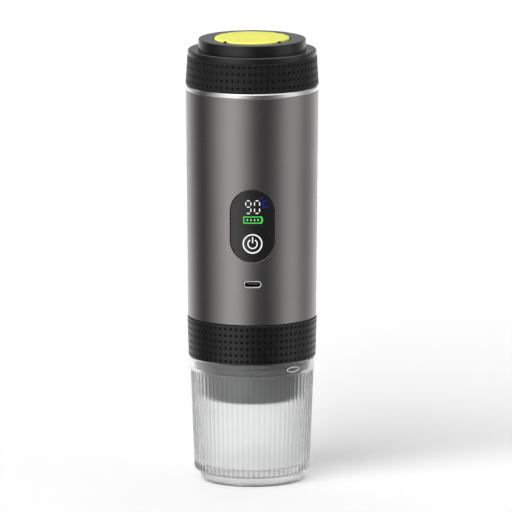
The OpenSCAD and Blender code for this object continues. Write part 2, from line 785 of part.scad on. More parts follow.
// Battery cell: one round cell with its raised terminal
module battery_cell(i) color([0.15, 0.35, 0.6])
  rotate(cell_angles[i]) translate([cell_ring_r, 0, bay_z]) turned([
    [0, 0], [cell_r - edge, 0], [cell_r, edge], [cell_r, cell_l - 3 * edge],
    [cell_r - 2 * edge, cell_l - edge], [terminal_r, cell_l - edge], [terminal_r, cell_l], [0, cell_l]
  ]);

module battery_cell_1() battery_cell(0);
module battery_cell_2() battery_cell(1);
module battery_cell_3() battery_cell(2);

// Cell link: strip that joins the three upper terminals
module cell_link() color([0.8, 0.78, 0.7]) {
  step = cell_angles[1] - cell_angles[0];
  reach = 2 * cell_ring_r * sin(step / 2);
  for (s = [-1, 1])
    translate([0, cell_ring_r, bay_z + cell_l]) rotate(s > 0 ? -step / 2 : 180 + step / 2)
      translate([-link_w / 3, -link_w / 2, 0]) cube([reach + link_w / 3, link_w, link_t]);
}

// Main board: control board stood between the chassis plates, with its larger parts
module main_board() color([0.1, 0.35, 0.2]) {
  translate([main_board_x, main_board_front, bay_z])
    cube([board_t, main_board_rear - main_board_front, bay_top - bay_z]);
  translate([main_board_x + board_t, main_board_front + board_part_in, bay_z + board_part_up])
    for (k = [0:3])
      translate([0, 0, board_part_pitch * k]) cube([board_part_t, board_part_w, board_part_h]);
}

// Display lens: smoked window, flush with the body and flat behind
module display_lens() color([0.06, 0.06, 0.07]) difference() {
  intersection() {
    translate([0, 0, window_z]) to_front(lens_back, front_reach)
      pill(window_w - 2 * seat_gap, window_h - 2 * seat_gap);
    body_cone(fit_gap);
  }
  translate([0, 0, button_z]) to_front(lens_back - cut_margin, front_reach)
    circle(r = light_ring_r + fit_gap);
}

// Light ring: white light guide round the power button
module light_ring() color([0.95, 0.95, 0.95]) intersection() {
  translate([0, 0, button_z]) to_front(lens_back, front_reach) difference() {
    circle(r = light_ring_r);
    circle(r = light_ring_r - light_ring_w);
  }
  body_cone(fit_gap);
}

// Power button: round cap inside the light ring
module power_button() color([0.07, 0.07, 0.08]) intersection() {
  translate([0, 0, button_z]) to_front(lens_back, front_reach) circle(r = power_cap_r);
  body_cone(fit_gap);
}

// Switch plunger: passes the button's push into the switch
module switch_plunger() color([0.8, 0.8, 0.8])
  translate([0, 0, button_z]) to_front(display_board_back + power_travel + seat_gap, lens_back)
    circle(r = plunger_r);

// Switch housing: body of the push switch on the display board
module switch_housing() color([0.25, 0.25, 0.25])
  translate([0, 0, button_z]) to_front(display_board_back, display_board_back + switch_t) difference() {
    square(switch_size, center = true);
    circle(r = plunger_r + 2 * run_gap);
  }

// Display board: flat board behind the lens
module display_board() color([0.1, 0.35, 0.2])
  translate([0, 0, window_z]) to_front(display_board_rear, display_board_back)
    pill(window_w - 2 * display_board_margin, window_h - 2 * display_board_margin);

// Digit module: segment display block on the display board
module digit_module() color([0.15, 0.15, 0.15])
  translate([0, 0, window_z + digit_up]) to_front(display_board_back, display_board_back + digit_t)
    square([digit_w, digit_h], center = true);

// Charging socket shell: folded steel, open to the front
module usb_shell() color([0.75, 0.75, 0.76]) translate([0, 0, usb_z]) difference() {
  to_front(usb_front - usb_l, usb_front) rotate(90) pill(usb_t, usb_w);
  to_front(usb_front - usb_l + usb_floor, front_reach) rotate(90)
    pill(usb_t - 2 * usb_sheet, usb_w - 2 * usb_sheet);
}

// Charging socket tongue: contact blade inside the shell
module usb_tongue() color([0.1, 0.1, 0.1])
  translate([0, 0, usb_z]) to_front(usb_front - usb_l + usb_floor, usb_front - usb_l + usb_floor + tongue_l)
    square([tongue_w, tongue_t], center = true);

// Charging board: carries the socket on the pedestal
module usb_board() color([0.1, 0.35, 0.2])
  translate([-usb_board_w / 2, -usb_front + usb_board_back, usb_z - usb_t / 2 - board_t])
    cube([usb_board_w, usb_board_l, board_t]);

// Pump motor: can with a front boss seat and a rear bearing boss
module pump_motor() color([0.7, 0.7, 0.72]) translate([0, motor_y, 0]) turned([
  [shaft_r + run_gap, motor_z], [motor_r - edge, motor_z], [motor_r, motor_z + edge],
  [motor_r, motor_top - 2 * edge], [motor_r - 2 * edge, motor_top],
  [rear_boss_r, motor_top], [rear_boss_r, motor_top + rear_boss_h],
  [shaft_r + run_gap, motor_top + rear_boss_h]
]);

// Places of the pump's screws
module at_pump_screws() {
  for (i = [0:3])
    translate([0, pump_y, 0]) rotate(45 + 90 * i) translate([screw_ring_r, 0, 0]) children();
}

// Pump housing: holds the two gears, with the inlet boss and the outlet hole
module pump_housing() color([0.3, 0.3, 0.32]) {
  channel = [-outlet_x - inlet_x, outlet_y - inlet_y];
  difference() {
    union() {
      translate([0, pump_y, pump_z]) cylinder(h = pump_cover_z - pump_z, r = pump_r);
      translate([inlet_x, inlet_y, pump_z]) cylinder(h = pump_cover_z - pump_z, r = inlet_boss_r);
    }
    for (y = [motor_y, idler_y])
      translate([0, y, gear_room_z]) cylinder(h = pump_cover_z - gear_room_z + cut_margin, r = gear_bore_r);
    translate([0, motor_y, pump_z + bearing_floor]) cylinder(h = pump_floor, r = shaft_r + run_gap);
    translate([0, idler_y, pump_z + bearing_floor]) cylinder(h = pump_floor, r = shaft_r);
    translate([outlet_x, outlet_y, pump_z - cut_margin])
      cylinder(h = pump_floor + 2 * cut_margin, r = pipe_bore_r);
    translate([inlet_x, inlet_y, gear_room_z + gear_h / 2 - pipe_bore_r])
      cylinder(h = gear_h, r = pipe_bore_r);
    translate([inlet_x, inlet_y, gear_room_z + gear_h / 2]) rotate(atan2(channel[1], channel[0]))
      rotate([0, 90, 0]) cylinder(h = norm(channel), r = channel_r);
    at_pump_screws() translate([0, 0, pump_cover_z - screw_l])
      cylinder(h = screw_l + cut_margin, r = screw_shank_r);
  }
}

// Pump cover: lid of the gear room, with the motor's seat
module pump_cover() color([0.35, 0.35, 0.37]) difference() {
  union() {
    translate([0, pump_y, pump_cover_z]) cylinder(h = pump_cover_t, r = pump_r);
    translate([inlet_x, inlet_y, pump_cover_z]) cylinder(h = pump_cover_t, r = inlet_boss_r);
    translate([0, motor_y, pump_cover_z]) cylinder(h = pump_cover_t + motor_boss_h, r = motor_boss_r);
  }
  translate([0, motor_y, pump_cover_z - cut_margin])
    cylinder(h = pump_cover_t + motor_boss_h + 2 * cut_margin, r = shaft_r + run_gap);
  translate([inlet_x, inlet_y, pump_cover_z - cut_margin])
    cylinder(h = pump_cover_t + 2 * cut_margin, r = pipe_bore_r);
  at_pump_screws() translate([0, 0, pump_cover_z - cut_margin])
    cylinder(h = pump_cover_t + 2 * cut_margin, r = screw_shank_r + fit_gap);
}

// Pump screws: four screws that hold the cover down
module pump_screws() color([0.6, 0.6, 0.6]) at_pump_screws() turned([
  [0, pump_cover_z - screw_l + edge], [screw_shank_r, pump_cover_z - screw_l + edge],
  [screw_shank_r, pump_cover_top], [screw_head_r, pump_cover_top],
  [screw_head_r, pump_cover_top + screw_head_t], [0, pump_cover_top + screw_head_t]
]);

// Idler pin: fixed axle of the idler gear
module idler_pin() color([0.8, 0.8, 0.8])
  translate([0, idler_y, pump_z + bearing_floor])
    cylinder(h = pump_cover_z - pump_z - bearing_floor - gear_gap, r = shaft_r);

// Suction pipe: from the tank floor down to the pump
module suction_pipe() color([0.85, 0.85, 0.8])
  translate([inlet_x, inlet_y, 0]) ring(pipe_r, pipe_bore_r, pump_cover_top, tank_z);

// Delivery pipe: from the pump down to the group head
module delivery_pipe() color([0.85, 0.85, 0.8])
  translate([outlet_x, outlet_y, 0]) ring(pipe_r, pipe_bore_r, head_plate_top, pump_z);

// Motor shaft: runs from the rear of the motor into the pump floor
module motor_shaft() color([0.8, 0.8, 0.8]) {
  shaft_z = pump_z + bearing_floor + gear_gap;
  translate([0, motor_y, shaft_z]) cylinder(h = motor_top + rear_boss_h + shaft_out - shaft_z, r = shaft_r);
}

// Outline of a pump gear with a tooth at angle zero
function gear_outline() = [
  for (i = [0:gear_teeth - 1], k = [0:3])
  let (a = 360 / gear_teeth * i + [-tooth_root_half, -tooth_tip_half, tooth_tip_half, tooth_root_half][k],
    r = [gear_root_r, gear_tip_r, gear_tip_r, gear_root_r][k])
  [r * cos(a), r * sin(a)]
];

// One pump gear with its bore, turned so that it meshes
module pump_gear(y, turn, bore_gap) translate([0, y, gear_room_z + gear_gap]) rotate(turn) difference() {
  linear_extrude(gear_h) polygon(gear_outline());
  translate([0, 0, -cut_margin]) cylinder(h = gear_h + 2 * cut_margin, r = shaft_r + bore_gap);
}

module drive_gear() color([0.85, 0.8, 0.6]) pump_gear(motor_y, -90, press_gap);
module idler_gear() color([0.85, 0.8, 0.6]) pump_gear(idler_y, 90 + 180 / gear_teeth, run_gap);

// Lid plug: carries the lid's gasket into the tank mouth without turning
module lid_plug() color([0.1, 0.1, 0.1]) turned([
  [vent_bore_r, plug_z], [plug_r - edge, plug_z], [plug_r, plug_z + edge], [plug_r, plug_flange_z],
  [female_r - slip_gap, plug_flange_z], [female_r - slip_gap, plug_flange_top],
  [plug_r - plug_wall, plug_flange_top], [plug_r - plug_wall, plug_z + plug_floor],
  [plug_boss_r, plug_z + plug_floor], [plug_boss_r, clip_top], [vent_bore_r, clip_top]
]);

// Lid gasket: flat silicone ring that seals on the tank rim
module lid_gasket() color([0.8, 0.8, 0.78])
  ring(tank_rim_r, plug_r + fit_gap, lid_gasket_z, plug_flange_z);

// Plug clip: ring that lets the lid turn on the plug's boss
module plug_clip() color([0.75, 0.75, 0.76])
  ring(plug_boss_r + clip_w, plug_boss_r + fit_gap, clip_z, clip_top);

// Vent spring: silicone dome that lifts the vent button
module vent_spring() color([0.85, 0.85, 0.85]) turned([
  [spring_low_r - spring_t, clip_top + seat_gap], [spring_low_r, clip_top + seat_gap],
  [spring_top_r + spring_t, button_under_z - seat_gap], [spring_top_r, button_under_z - seat_gap]
]);

// Lid shell: threaded skirt, shoulder and web
module lid_shell() color([0.1, 0.1, 0.1]) {
  round_r = shoulder_h / 2;
  turned(concat(
    [[female_r, lid_z], [skirt_r, lid_z], [skirt_r, shoulder_z], [shoulder_r - edge, shoulder_z],
      [shoulder_r, shoulder_z + edge]],
    arc([shoulder_r - round_r, web_top - round_r], round_r, 0, 90),
    [[plug_boss_r + slip_gap, web_top], [plug_boss_r + slip_gap, web_z], [female_r, web_z]]
  ));
  female_thread(lid_thread_z);
}

// Lid disc: upper disc that holds the vent button down
module lid_disc() color([0.1, 0.1, 0.1]) {
  round_r = 2 * edge;
  turned(concat(
    [[button_well_r, web_top], [disc_low_r, web_top]],
    arc([disc_top_r - round_r, disc_top - round_r], round_r, 0, 90, 4),
    [[button_bore_r + edge, disc_top], [button_bore_r, disc_top - edge],
      [button_bore_r, disc_top - button_lip], [button_well_r, disc_top - button_lip]]
  ));
  for (i = [0:notch_count - 1])
    rotate(360 / notch_count * (i + 0.5))
      translate([button_bore_r - notch_depth + slip_gap, -key_w / 2, disc_top - button_lip])
        cube([notch_depth, key_w, button_lip - edge]);
}

// Lid grip: silicone sleeve round the lid's skirt
module lid_grip() color([0.09, 0.09, 0.09]) turned([
  [skirt_r, lid_z], [lid_grip_low_r - edge, lid_z], [lid_grip_low_r, lid_z + edge],
  [lid_grip_top_r, shoulder_z - edge], [lid_grip_top_r - edge, shoulder_z], [skirt_r, shoulder_z]
]);

// Vent button: yellow cap with its keeping flange and the socket for the stem
module vent_button() color([0.9, 0.92, 0.25]) {
  flange_r = button_r + button_flange_w;
  difference() {
    turned(concat(
      [[stem_r + fit_gap, stem_boss_z], [stem_r + stem_boss_wall, stem_boss_z],
        [stem_r + stem_boss_wall, button_under_z], [button_r - button_wall, button_under_z],
        [button_r - button_wall, button_flange_z], [flange_r, button_flange_z],
        [flange_r, button_flange_top], [button_r, button_flange_top]],
      arc([button_r - button_edge, button_top - button_crown - button_edge], button_edge, 0, 90, 5),
      [[0, button_top], [0, button_under_z], [stem_r + fit_gap, button_under_z]]
    ));
    for (i = [0:notch_count - 1])
      rotate(360 / notch_count * (i + 0.5))
        translate([button_r - notch_depth, -notch_w / 2, button_flange_top - button_flange_gap])
          cube([notch_depth + cut_margin, notch_w, button_top]);
  }
}

// Vent stem: pulls the vent seal up against the plug
module vent_stem() color([0.75, 0.75, 0.76]) turned([
  [0, vent_seal_z - stem_head_t], [stem_head_r, vent_seal_z - stem_head_t], [stem_head_r, vent_seal_z],
  [stem_r, vent_seal_z], [stem_r, button_under_z], [0, button_under_z]
]);

// Vent seal: silicone washer under the plug
module vent_seal() color([0.8, 0.8, 0.78])
  ring(vent_seal_r, stem_r + fit_gap, vent_seal_z, vent_seal_z + vent_seal_t);

cup();
brew_chamber();
keeper_ring();
cup_seal();
spout();
coffee_basket();
collar_core();
collar_grip();
body_tube();
trim_ring();
neck_ring();
group_head();
head_gasket();
shower_screen();
screen_screw();
water_tank();
heater_plate();
temp_sensor();
lower_chassis_plate();
upper_chassis_plate();
chassis_posts();
battery_cell_1();
battery_cell_2();
battery_cell_3();
cell_link();
main_board();
display_lens();
light_ring();
display_board();
digit_module();
switch_housing();
usb_shell();
usb_tongue();
usb_board();
pump_motor();
pump_housing();
pump_cover();
pump_screws();
idler_pin();
suction_pipe();
delivery_pipe();
power_button();
switch_plunger();
motor_shaft();
drive_gear();
idler_gear();
lid_plug();
lid_gasket();
plug_clip();
vent_spring();
lid_shell();
lid_disc();
lid_grip();
vent_button();
vent_stem();
vent_seal();
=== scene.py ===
import json
from math import acos, asin, atan2, ceil, cos, dist, hypot, pi, radians, sin, sqrt, tan

import bmesh
import bpy
import numpy as np
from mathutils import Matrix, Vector


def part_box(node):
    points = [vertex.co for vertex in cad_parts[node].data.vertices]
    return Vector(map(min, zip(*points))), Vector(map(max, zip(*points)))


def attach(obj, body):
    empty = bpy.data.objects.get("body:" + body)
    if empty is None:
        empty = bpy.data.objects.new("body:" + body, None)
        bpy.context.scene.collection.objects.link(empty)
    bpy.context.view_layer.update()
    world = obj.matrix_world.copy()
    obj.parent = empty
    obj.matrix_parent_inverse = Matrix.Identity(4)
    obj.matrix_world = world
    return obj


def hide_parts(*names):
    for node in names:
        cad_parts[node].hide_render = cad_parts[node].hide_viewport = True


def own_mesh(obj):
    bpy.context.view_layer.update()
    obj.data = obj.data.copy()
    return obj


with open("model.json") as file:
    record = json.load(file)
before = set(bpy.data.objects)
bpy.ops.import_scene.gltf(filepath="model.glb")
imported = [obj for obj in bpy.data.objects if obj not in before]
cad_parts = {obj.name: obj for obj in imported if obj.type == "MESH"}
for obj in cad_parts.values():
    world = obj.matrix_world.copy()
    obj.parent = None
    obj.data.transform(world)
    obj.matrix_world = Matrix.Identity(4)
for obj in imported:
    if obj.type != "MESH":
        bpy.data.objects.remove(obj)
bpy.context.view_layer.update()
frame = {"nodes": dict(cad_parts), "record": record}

# A portable espresso maker. Sizes are in millimetres. Azimuth 0 is the display side (-Y), and a positive
# azimuth turns towards +X.
MM = 0.001
SEGMENTS = 256
MERGE = 0.0005
SHARP_ANGLE = radians(40)
ARC_STEP = radians(15)

# Fillets that several outlines share
THIN_FILLET = 0.15
FINE_FILLET = 0.2
SMALL_FILLET = 0.25
MIDDLE_FILLET = 0.4
WIDE_FILLET = 0.5
BROAD_FILLET = 0.6


def span(node):
    """Outer radius, lowest level and highest level of a CAD node."""
    low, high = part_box(node)
    return high.x / MM, low.z / MM, high.z / MM


# Main sizes, read from the frame
CUP_RIM_R, _, CUP_H = span("cup")
COLLAR_R, COLLAR_Z, COLLAR_TOP = span("collar_grip")
CORE_R = span("collar_core")[0]
BODY_TOP_R, BODY_Z, BODY_TOP = span("body_tube")
TRIM_TOP = span("trim_ring")[2]
LID_GRIP_R, LID_Z, SHOULDER_Z = span("lid_grip")
SHOULDER_R, _, WEB_TOP = span("lid_shell")
DISC_R, _, DISC_TOP = span("lid_disc")
VENT_FLANGE_R, _, VENT_TOP = span("vent_button")
CLIP_TOP = span("plug_clip")[2]
WINDOW_R, WINDOW_LOW, WINDOW_HIGH = span("display_lens")
LIGHT_R, LIGHT_LOW, LIGHT_HIGH = span("light_ring")
WINDOW_Z = (WINDOW_LOW + WINDOW_HIGH) / 2
POWER_Z = (LIGHT_LOW + LIGHT_HIGH) / 2
USB_LOW, USB_HIGH = (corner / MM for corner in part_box("usb_shell"))
USB_Z = (USB_LOW.z + USB_HIGH.z) / 2


# Mesh helpers

class Shell:
    """Points and faces gathered for one piece."""

    def __init__(self):
        self.points = []
        self.faces = []
        self.inner = set()

    def loop(self, points):
        first = len(self.points)
        self.points.extend(points)
        return list(range(first, len(self.points)))

    def bridge(self, loops, closed=True, ring=False):
        """Joins a run of equally long loops by quads; ring also joins the last loop to the first."""
        made = [self.loop(points) for points in loops]
        if ring:
            made.append(made[0])
        for a, b in zip(made, made[1:]):
            for i in range(len(a) if closed else len(a) - 1):
                j = (i + 1) % len(a)
                self.faces.append((a[i], a[j], b[j], b[i]))

    def cap(self, points):
        self.faces.append(tuple(self.loop(points)))

    def solid(self, loops):
        """Joins the loops and closes both ends."""
        self.bridge(loops)
        self.cap(loops[0])
        self.cap(loops[-1])

    def mark_inner(self, first):
        """Gives the faces made since number first the piece's second material."""
        self.inner.update(range(first, len(self.faces)))


def lerp(a, b, t):
    return a + (b - a) * t


def blend(a, b, t):
    """Point part of the way from a to b."""
    return lerp(a[0], b[0], t), lerp(a[1], b[1], t)


def evenly(start, end, steps):
    """Numbers from start to end in equal steps."""
    return [lerp(start, end, k / steps) for k in range(steps + 1)]


def full_turn(steps):
    """Angles of equal steps round a circle."""
    return evenly(0, 2 * pi, steps)[:-1]


def edge_arc(size, steps):
    """Quarter circle as (inset, rise) pairs, from the face to the side."""
    return [(size * (1 - sin(a)), size * (1 - cos(a))) for a in evenly(0, pi / 2, steps)]


def polar(radius, azimuth, z):
    """Point at an azimuth in radians."""
    return (radius * sin(azimuth), -radius * cos(azimuth), z)


def unit(vector):
    return vector / np.linalg.norm(vector)


def rounded(corners):
    """Outline of (radius, height) points from (radius, height, fillet) corners."""
    outline = []
    for i, (r, z, fillet) in enumerate(corners):
        here = np.array((r, z))
        if fillet == 0:
            outline.append(here)
            continue
        before = unit(np.array(corners[i - 1][:2]) - here)
        after = unit(np.array(corners[(i + 1) % len(corners)][:2]) - here)
        half = acos(max(-1.0, min(1.0, float(before @ after)))) / 2
        centre = here + unit(before + after) * fillet / sin(half)
        start = here + before * fillet / tan(half) - centre
        end = here + after * fillet / tan(half) - centre
        turn = atan2(start[0] * end[1] - start[1] * end[0], float(start @ end))
        first = atan2(start[1], start[0])
        steps = max(2, ceil(abs(turn) / ARC_STEP))
        for a in evenly(first, first + turn, steps):
            outline.append(centre + fillet * np.array((cos(a), sin(a))))
    return outline


def lathe(outline):
    """Closed solid of revolution from an outline of (radius, height) points."""
    shell = Shell()
    shell.bridge([[polar(r, a, z) for a in full_turn(SEGMENTS)] for r, z in outline], ring=True)
    return shell


def stadium_point(x, z, half_x, half_z, radius):
    """Point of a round-ended outline that faces (x, z), both measured from its middle."""
    core_x = max(-half_x, min(half_x, x))
    core_z = max(-half_z, min(half_z, z))
    reach = hypot(x - core_x, z - core_z)
    return core_x + radius * (x - core_x) / reach, core_z + radius * (z - core_z) / reach


def cell_border(width, height, across, up):
    """Corner-to-corner points round a rectangle about its middle."""
    xs = evenly(-width / 2, width / 2, across)[:-1]
    zs = evenly(-height / 2, height / 2, up)[:-1]
    border = []
    for way in (1, -1):
        border += [(way * x, -way * height / 2) for x in xs] + [(way * width / 2, way * z) for z in zs]
    return border


def holed_cell(shell, wall, middle, border, half_x, half_z, rings, spread_steps=1, last=None):
    """Wall cell round a round-ended hole or dimple: rings are (outline radius, inset) pairs, edge first, and
    last is the inset of a second wall behind."""
    u, v = middle
    outer = [stadium_point(x, z, half_x, half_z, rings[0][0]) for x, z in border]

    def hole_loop(radius, inset):
        found = [stadium_point(x, z, half_x, half_z, radius) for x, z in border]
        return [wall(u + x, v + z, inset) for x, z in found]

    def spread_loop(t, inset):
        """Loop part of the way from the border to the outer ring."""
        found = [blend(a, b, t) for a, b in zip(border, outer)]
        return [wall(u + x, v + z, inset) for x, z in found]

    loops = [spread_loop(t, 0) for t in evenly(0, 1, spread_steps)[:-1]]
    loops += [hole_loop(radius, inset) for radius, inset in rings]
    if last is not None:
        loops += [spread_loop(t, last) for t in evenly(1, 0, spread_steps)[1:]]
    shell.bridge(loops)


def add_object(name, data):
    thing = bpy.data.objects.new(name, data)
    bpy.context.scene.collection.objects.link(thing)
    return thing


def add_piece(name, shell, body, slot, replaces=(), material=None, inner=None):
    """Makes a smooth object and ties it to its CAD body; its finish is the slot's by default."""
    mesh = bpy.data.meshes.new(name)
    mesh.from_pydata([Vector(p) * MM for p in shell.points], [], shell.faces)
    for face in shell.inner:
        mesh.polygons[face].material_index = 1
    work = bmesh.new()
    work.from_mesh(mesh)
    bmesh.ops.remove_doubles(work, verts=work.verts, dist=MERGE * MM)
    bmesh.ops.recalc_face_normals(work, faces=work.faces)
    work.to_mesh(mesh)
    work.free()
    mesh.shade_smooth()
    mesh.set_sharp_from_angle(angle=SHARP_ANGLE)
    mesh.materials.append(material or FINISHES[slot])
    if inner:
        mesh.materials.append(inner)
    piece = add_object(name, mesh)
    weighted = piece.modifiers.new("even_shading", "WEIGHTED_NORMAL")
    weighted.keep_sharp = True
    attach(piece, body)
    if replaces:
        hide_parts(*replaces)
    return piece


# Sizes of the cup and its ribs

RIBS = 69
RIB_STEPS = 12
RIB_DEPTH = 0.3
RIB_INSET = 0.04
RIB_END = 1.6
RIB_LEVELS = 12
RIB_END_LEVELS = 8
CUP_TAPER = 2.2
CUP_BASE_R = CUP_RIM_R - CUP_TAPER
CUP_WALL_Z = 7.6
CUP_FLOOR_Z = 9.0
CUP_WALL = 2.0
CUP_CORNER = 2.6
CUP_CORNER_STEPS = 10
INSIDE_CORNER = 1.6
BAND_H = 6.2
BAND_Z = CUP_H - BAND_H
FOOT_R = 26.2
FOOT_TOP_R = 28.0
FOOT_H = 5.0
FOOT_RING_W = 3.4
FOOT_HOLLOW = 1.4
FOOT_ROUND = 1.0
FOOT_BEVEL_H = 0.3
FOOT_BEVEL_W = 0.1

# Looks of the cup: the greys are painted shade, as shares of black in its white; clear and light are shares
# that pass
CUP_WHITE = (0.9, 0.902, 0.905)
RIB_WHITE = (0.95, 0.952, 0.955)
CUP_IOR = 1.28
CUP_LIGHT = 0.85
FROST_GRAIN = 2600
FROST_VARIES = 0.03
# Painted shade in the rib valleys, deeper there as dashes round the floor
VALLEY_PAINTED_SHADE = 0.2
DASH_PAINTED_SHADE = 0.12
# Painted shade round the cup's floor and over the foot
BASE_PAINTED_SHADE = 0.3
# Painted shade at the cup's sides, where the wall is seen edge on
SIDE_PAINTED_SHADE = 0.36
SIDE_SHADE_FACING = (0.2, 0.6)
BAND_VEIL = 0.13
BAND_FACING = (0.15, 0.65)
# Painted contact shade along the foot's bottom edge
FOOT_EDGE_PAINTED_SHADE = 0.8
FOOT_EDGE_SHADE_LEVELS = (0.6, 0.3)
LIGHT_LEVELS = (1.0, 2.0)
FLOOR_CLEAR = 0.4
FLOOR_CLEAR_LEVELS = (CUP_FLOOR_Z + 0.2, CUP_FLOOR_Z + 0.8)
FOOT_BLEND = 0.3
FLOOR_BLEND = 0.6


# Material helpers

def set_inputs(node, values):
    """Sets a node's inputs by name or number; a value is a socket to link from, a number or a colour."""
    for key, value in values.items():
        if isinstance(value, bpy.types.NodeSocket):
            node.id_data.links.new(value, node.inputs[key])
        else:
            node.inputs[key].default_value = value


def add_node(tree, kind, values):
    node = tree.nodes.new(kind)
    set_inputs(node, values)
    return node


def new_material(name):
    material = bpy.data.materials.new(name)
    material.use_nodes = True
    tree = material.node_tree
    return material, tree, tree.nodes["Principled BSDF"]


def object_place(tree):
    return tree.nodes.new("ShaderNodeTexCoord").outputs["Object"]


def object_noise(tree, scale, detail=3.0, stretch=(1, 1, 1)):
    """Noise in object space; scale is in cycles per metre."""
    mapping = add_node(tree, "ShaderNodeMapping", {"Vector": object_place(tree), "Scale": stretch})
    values = {"Vector": mapping.outputs["Vector"], "Scale": scale, "Detail": detail}
    return add_node(tree, "ShaderNodeTexNoise", values).outputs["Fac"]


def ramp(factor, low, high, start=0.3, end=0.7):
    """Colour that runs from low to high as the factor goes from start to end."""
    node = add_node(factor.id_data, "ShaderNodeValToRGB", {"Fac": factor})
    for stop, position, colour in zip(node.color_ramp.elements, (start, end), (low, high)):
        stop.position = position
        stop.color = (*colour, 1)
    return node.outputs["Color"]


def spread(factor, low, high):
    """Number that runs from low to high with the factor."""
    values = {"Value": factor, "To Min": low, "To Max": high}
    return add_node(factor.id_data, "ShaderNodeMapRange", values).outputs["Result"]


def step_up(value, start, end, low=0.0, high=1.0):
    """Number that goes smoothly from low to high as the value goes from start to end."""
    values = {"Value": value, "From Min": start, "From Max": end, "To Min": low, "To Max": high}
    node = add_node(value.id_data, "ShaderNodeMapRange", values)
    node.interpolation_type = "SMOOTHSTEP"
    return node.outputs["Result"]


def level_step(height, start, end, low=0.0, high=1.0):
    """Number that goes smoothly from low to high between two levels in millimetres."""
    return step_up(height, start * MM, end * MM, low, high)


def turned_away(tree, facing, amount):
    """Number that grows to amount where clear plastic is seen edge on."""
    weight = tree.nodes.new("ShaderNodeLayerWeight")
    return step_up(weight.outputs["Facing"], *facing, 0.0, amount)


def math_node(operation, *values):
    """Output of a math node on sockets or numbers."""
    tree = next(value.id_data for value in values if isinstance(value, bpy.types.NodeSocket))
    node = add_node(tree, "ShaderNodeMath", dict(enumerate(values)))
    node.operation = operation
    return node.outputs[0]


def add_bump(shader, height, strength, depth):
    """Fine relief; depth is in millimetres."""
    values = {"Strength": strength, "Distance": depth * MM, "Height": height}
    bump = add_node(shader.id_data, "ShaderNodeBump", values)
    set_inputs(shader, {"Normal": bump.outputs["Normal"]})


def shaded(colour, amount):
    return tuple(c * amount for c in colour)


def plain_finish(name, colour, rough, metal=0.0, grain=1500, variation=0.06, relief=0.01, specular=0.5,
                 stretch=(1, 1, 1)):
    """Moulded, cast or drawn surface: slight colour and gloss variation with a fine relief."""
    material, tree, shader = new_material(name)
    broad = object_noise(tree, grain / 12)
    fine = object_noise(tree, grain, stretch=stretch)
    set_inputs(shader, {
        "Metallic": metal, "Specular IOR Level": specular,
        "Base Color": ramp(broad, shaded(colour, 1 - variation), shaded(colour, 1 + variation)),
        "Roughness": spread(fine, rough - 0.04, rough + 0.04),
    })
    add_bump(shader, fine, 0.35, relief)
    return material


def glowing_finish(name, colour):
    """Lit mark behind the lens, a little uneven like a light guide."""
    material, tree, shader = new_material(name)
    set_inputs(shader, {
        "Base Color": (*shaded(colour, 0.1), 1), "Roughness": 0.4, "Emission Strength": 1.0,
        "Emission Color": ramp(object_noise(tree, 900), shaded(colour, 0.92), colour),
    })
    return material


def frosted_finish(name, rough, clear, ribbed=False):
    """Translucent satin plastic; most lamp light passes it, but not at the foot's edge."""
    material, tree, shader = new_material(name)
    frost = object_noise(tree, FROST_GRAIN)
    axes = add_node(tree, "ShaderNodeSeparateXYZ", {0: object_place(tree)})
    height = axes.outputs["Z"]
    set_inputs(shader, {
        "Base Color": (*CUP_WHITE, 1), "IOR": CUP_IOR,
        "Roughness": spread(frost, rough - FROST_VARIES, rough + FROST_VARIES),
    })
    add_bump(shader, frost, 0.1, 0.01)
    if ribbed:
        band = level_step(height, BAND_Z - RIB_END, BAND_Z)
        veil = math_node("MULTIPLY", band, turned_away(tree, BAND_FACING, BAND_VEIL))
        passing = math_node("SUBTRACT", clear, veil)
        # The ribbed wall's white carries painted shade
        set_inputs(shader, {"Base Color": rib_painted_shade(axes)})
    else:
        passing = level_step(height, *FLOOR_CLEAR_LEVELS, FLOOR_CLEAR, clear)
    set_inputs(shader, {"Transmission Weight": passing})
    shadow = tree.nodes.new("ShaderNodeLightPath").outputs["Is Shadow Ray"]
    lit = math_node("MULTIPLY", shadow, level_step(height, *LIGHT_LEVELS, 0.0, CUP_LIGHT))
    gap = tree.nodes.new("ShaderNodeBsdfTransparent").outputs["BSDF"]
    mix = add_node(tree, "ShaderNodeMixShader", {"Fac": lit, 1: shader.outputs["BSDF"], 2: gap})
    set_inputs(tree.nodes["Material Output"], {"Surface": mix.outputs["Shader"]})
    return material


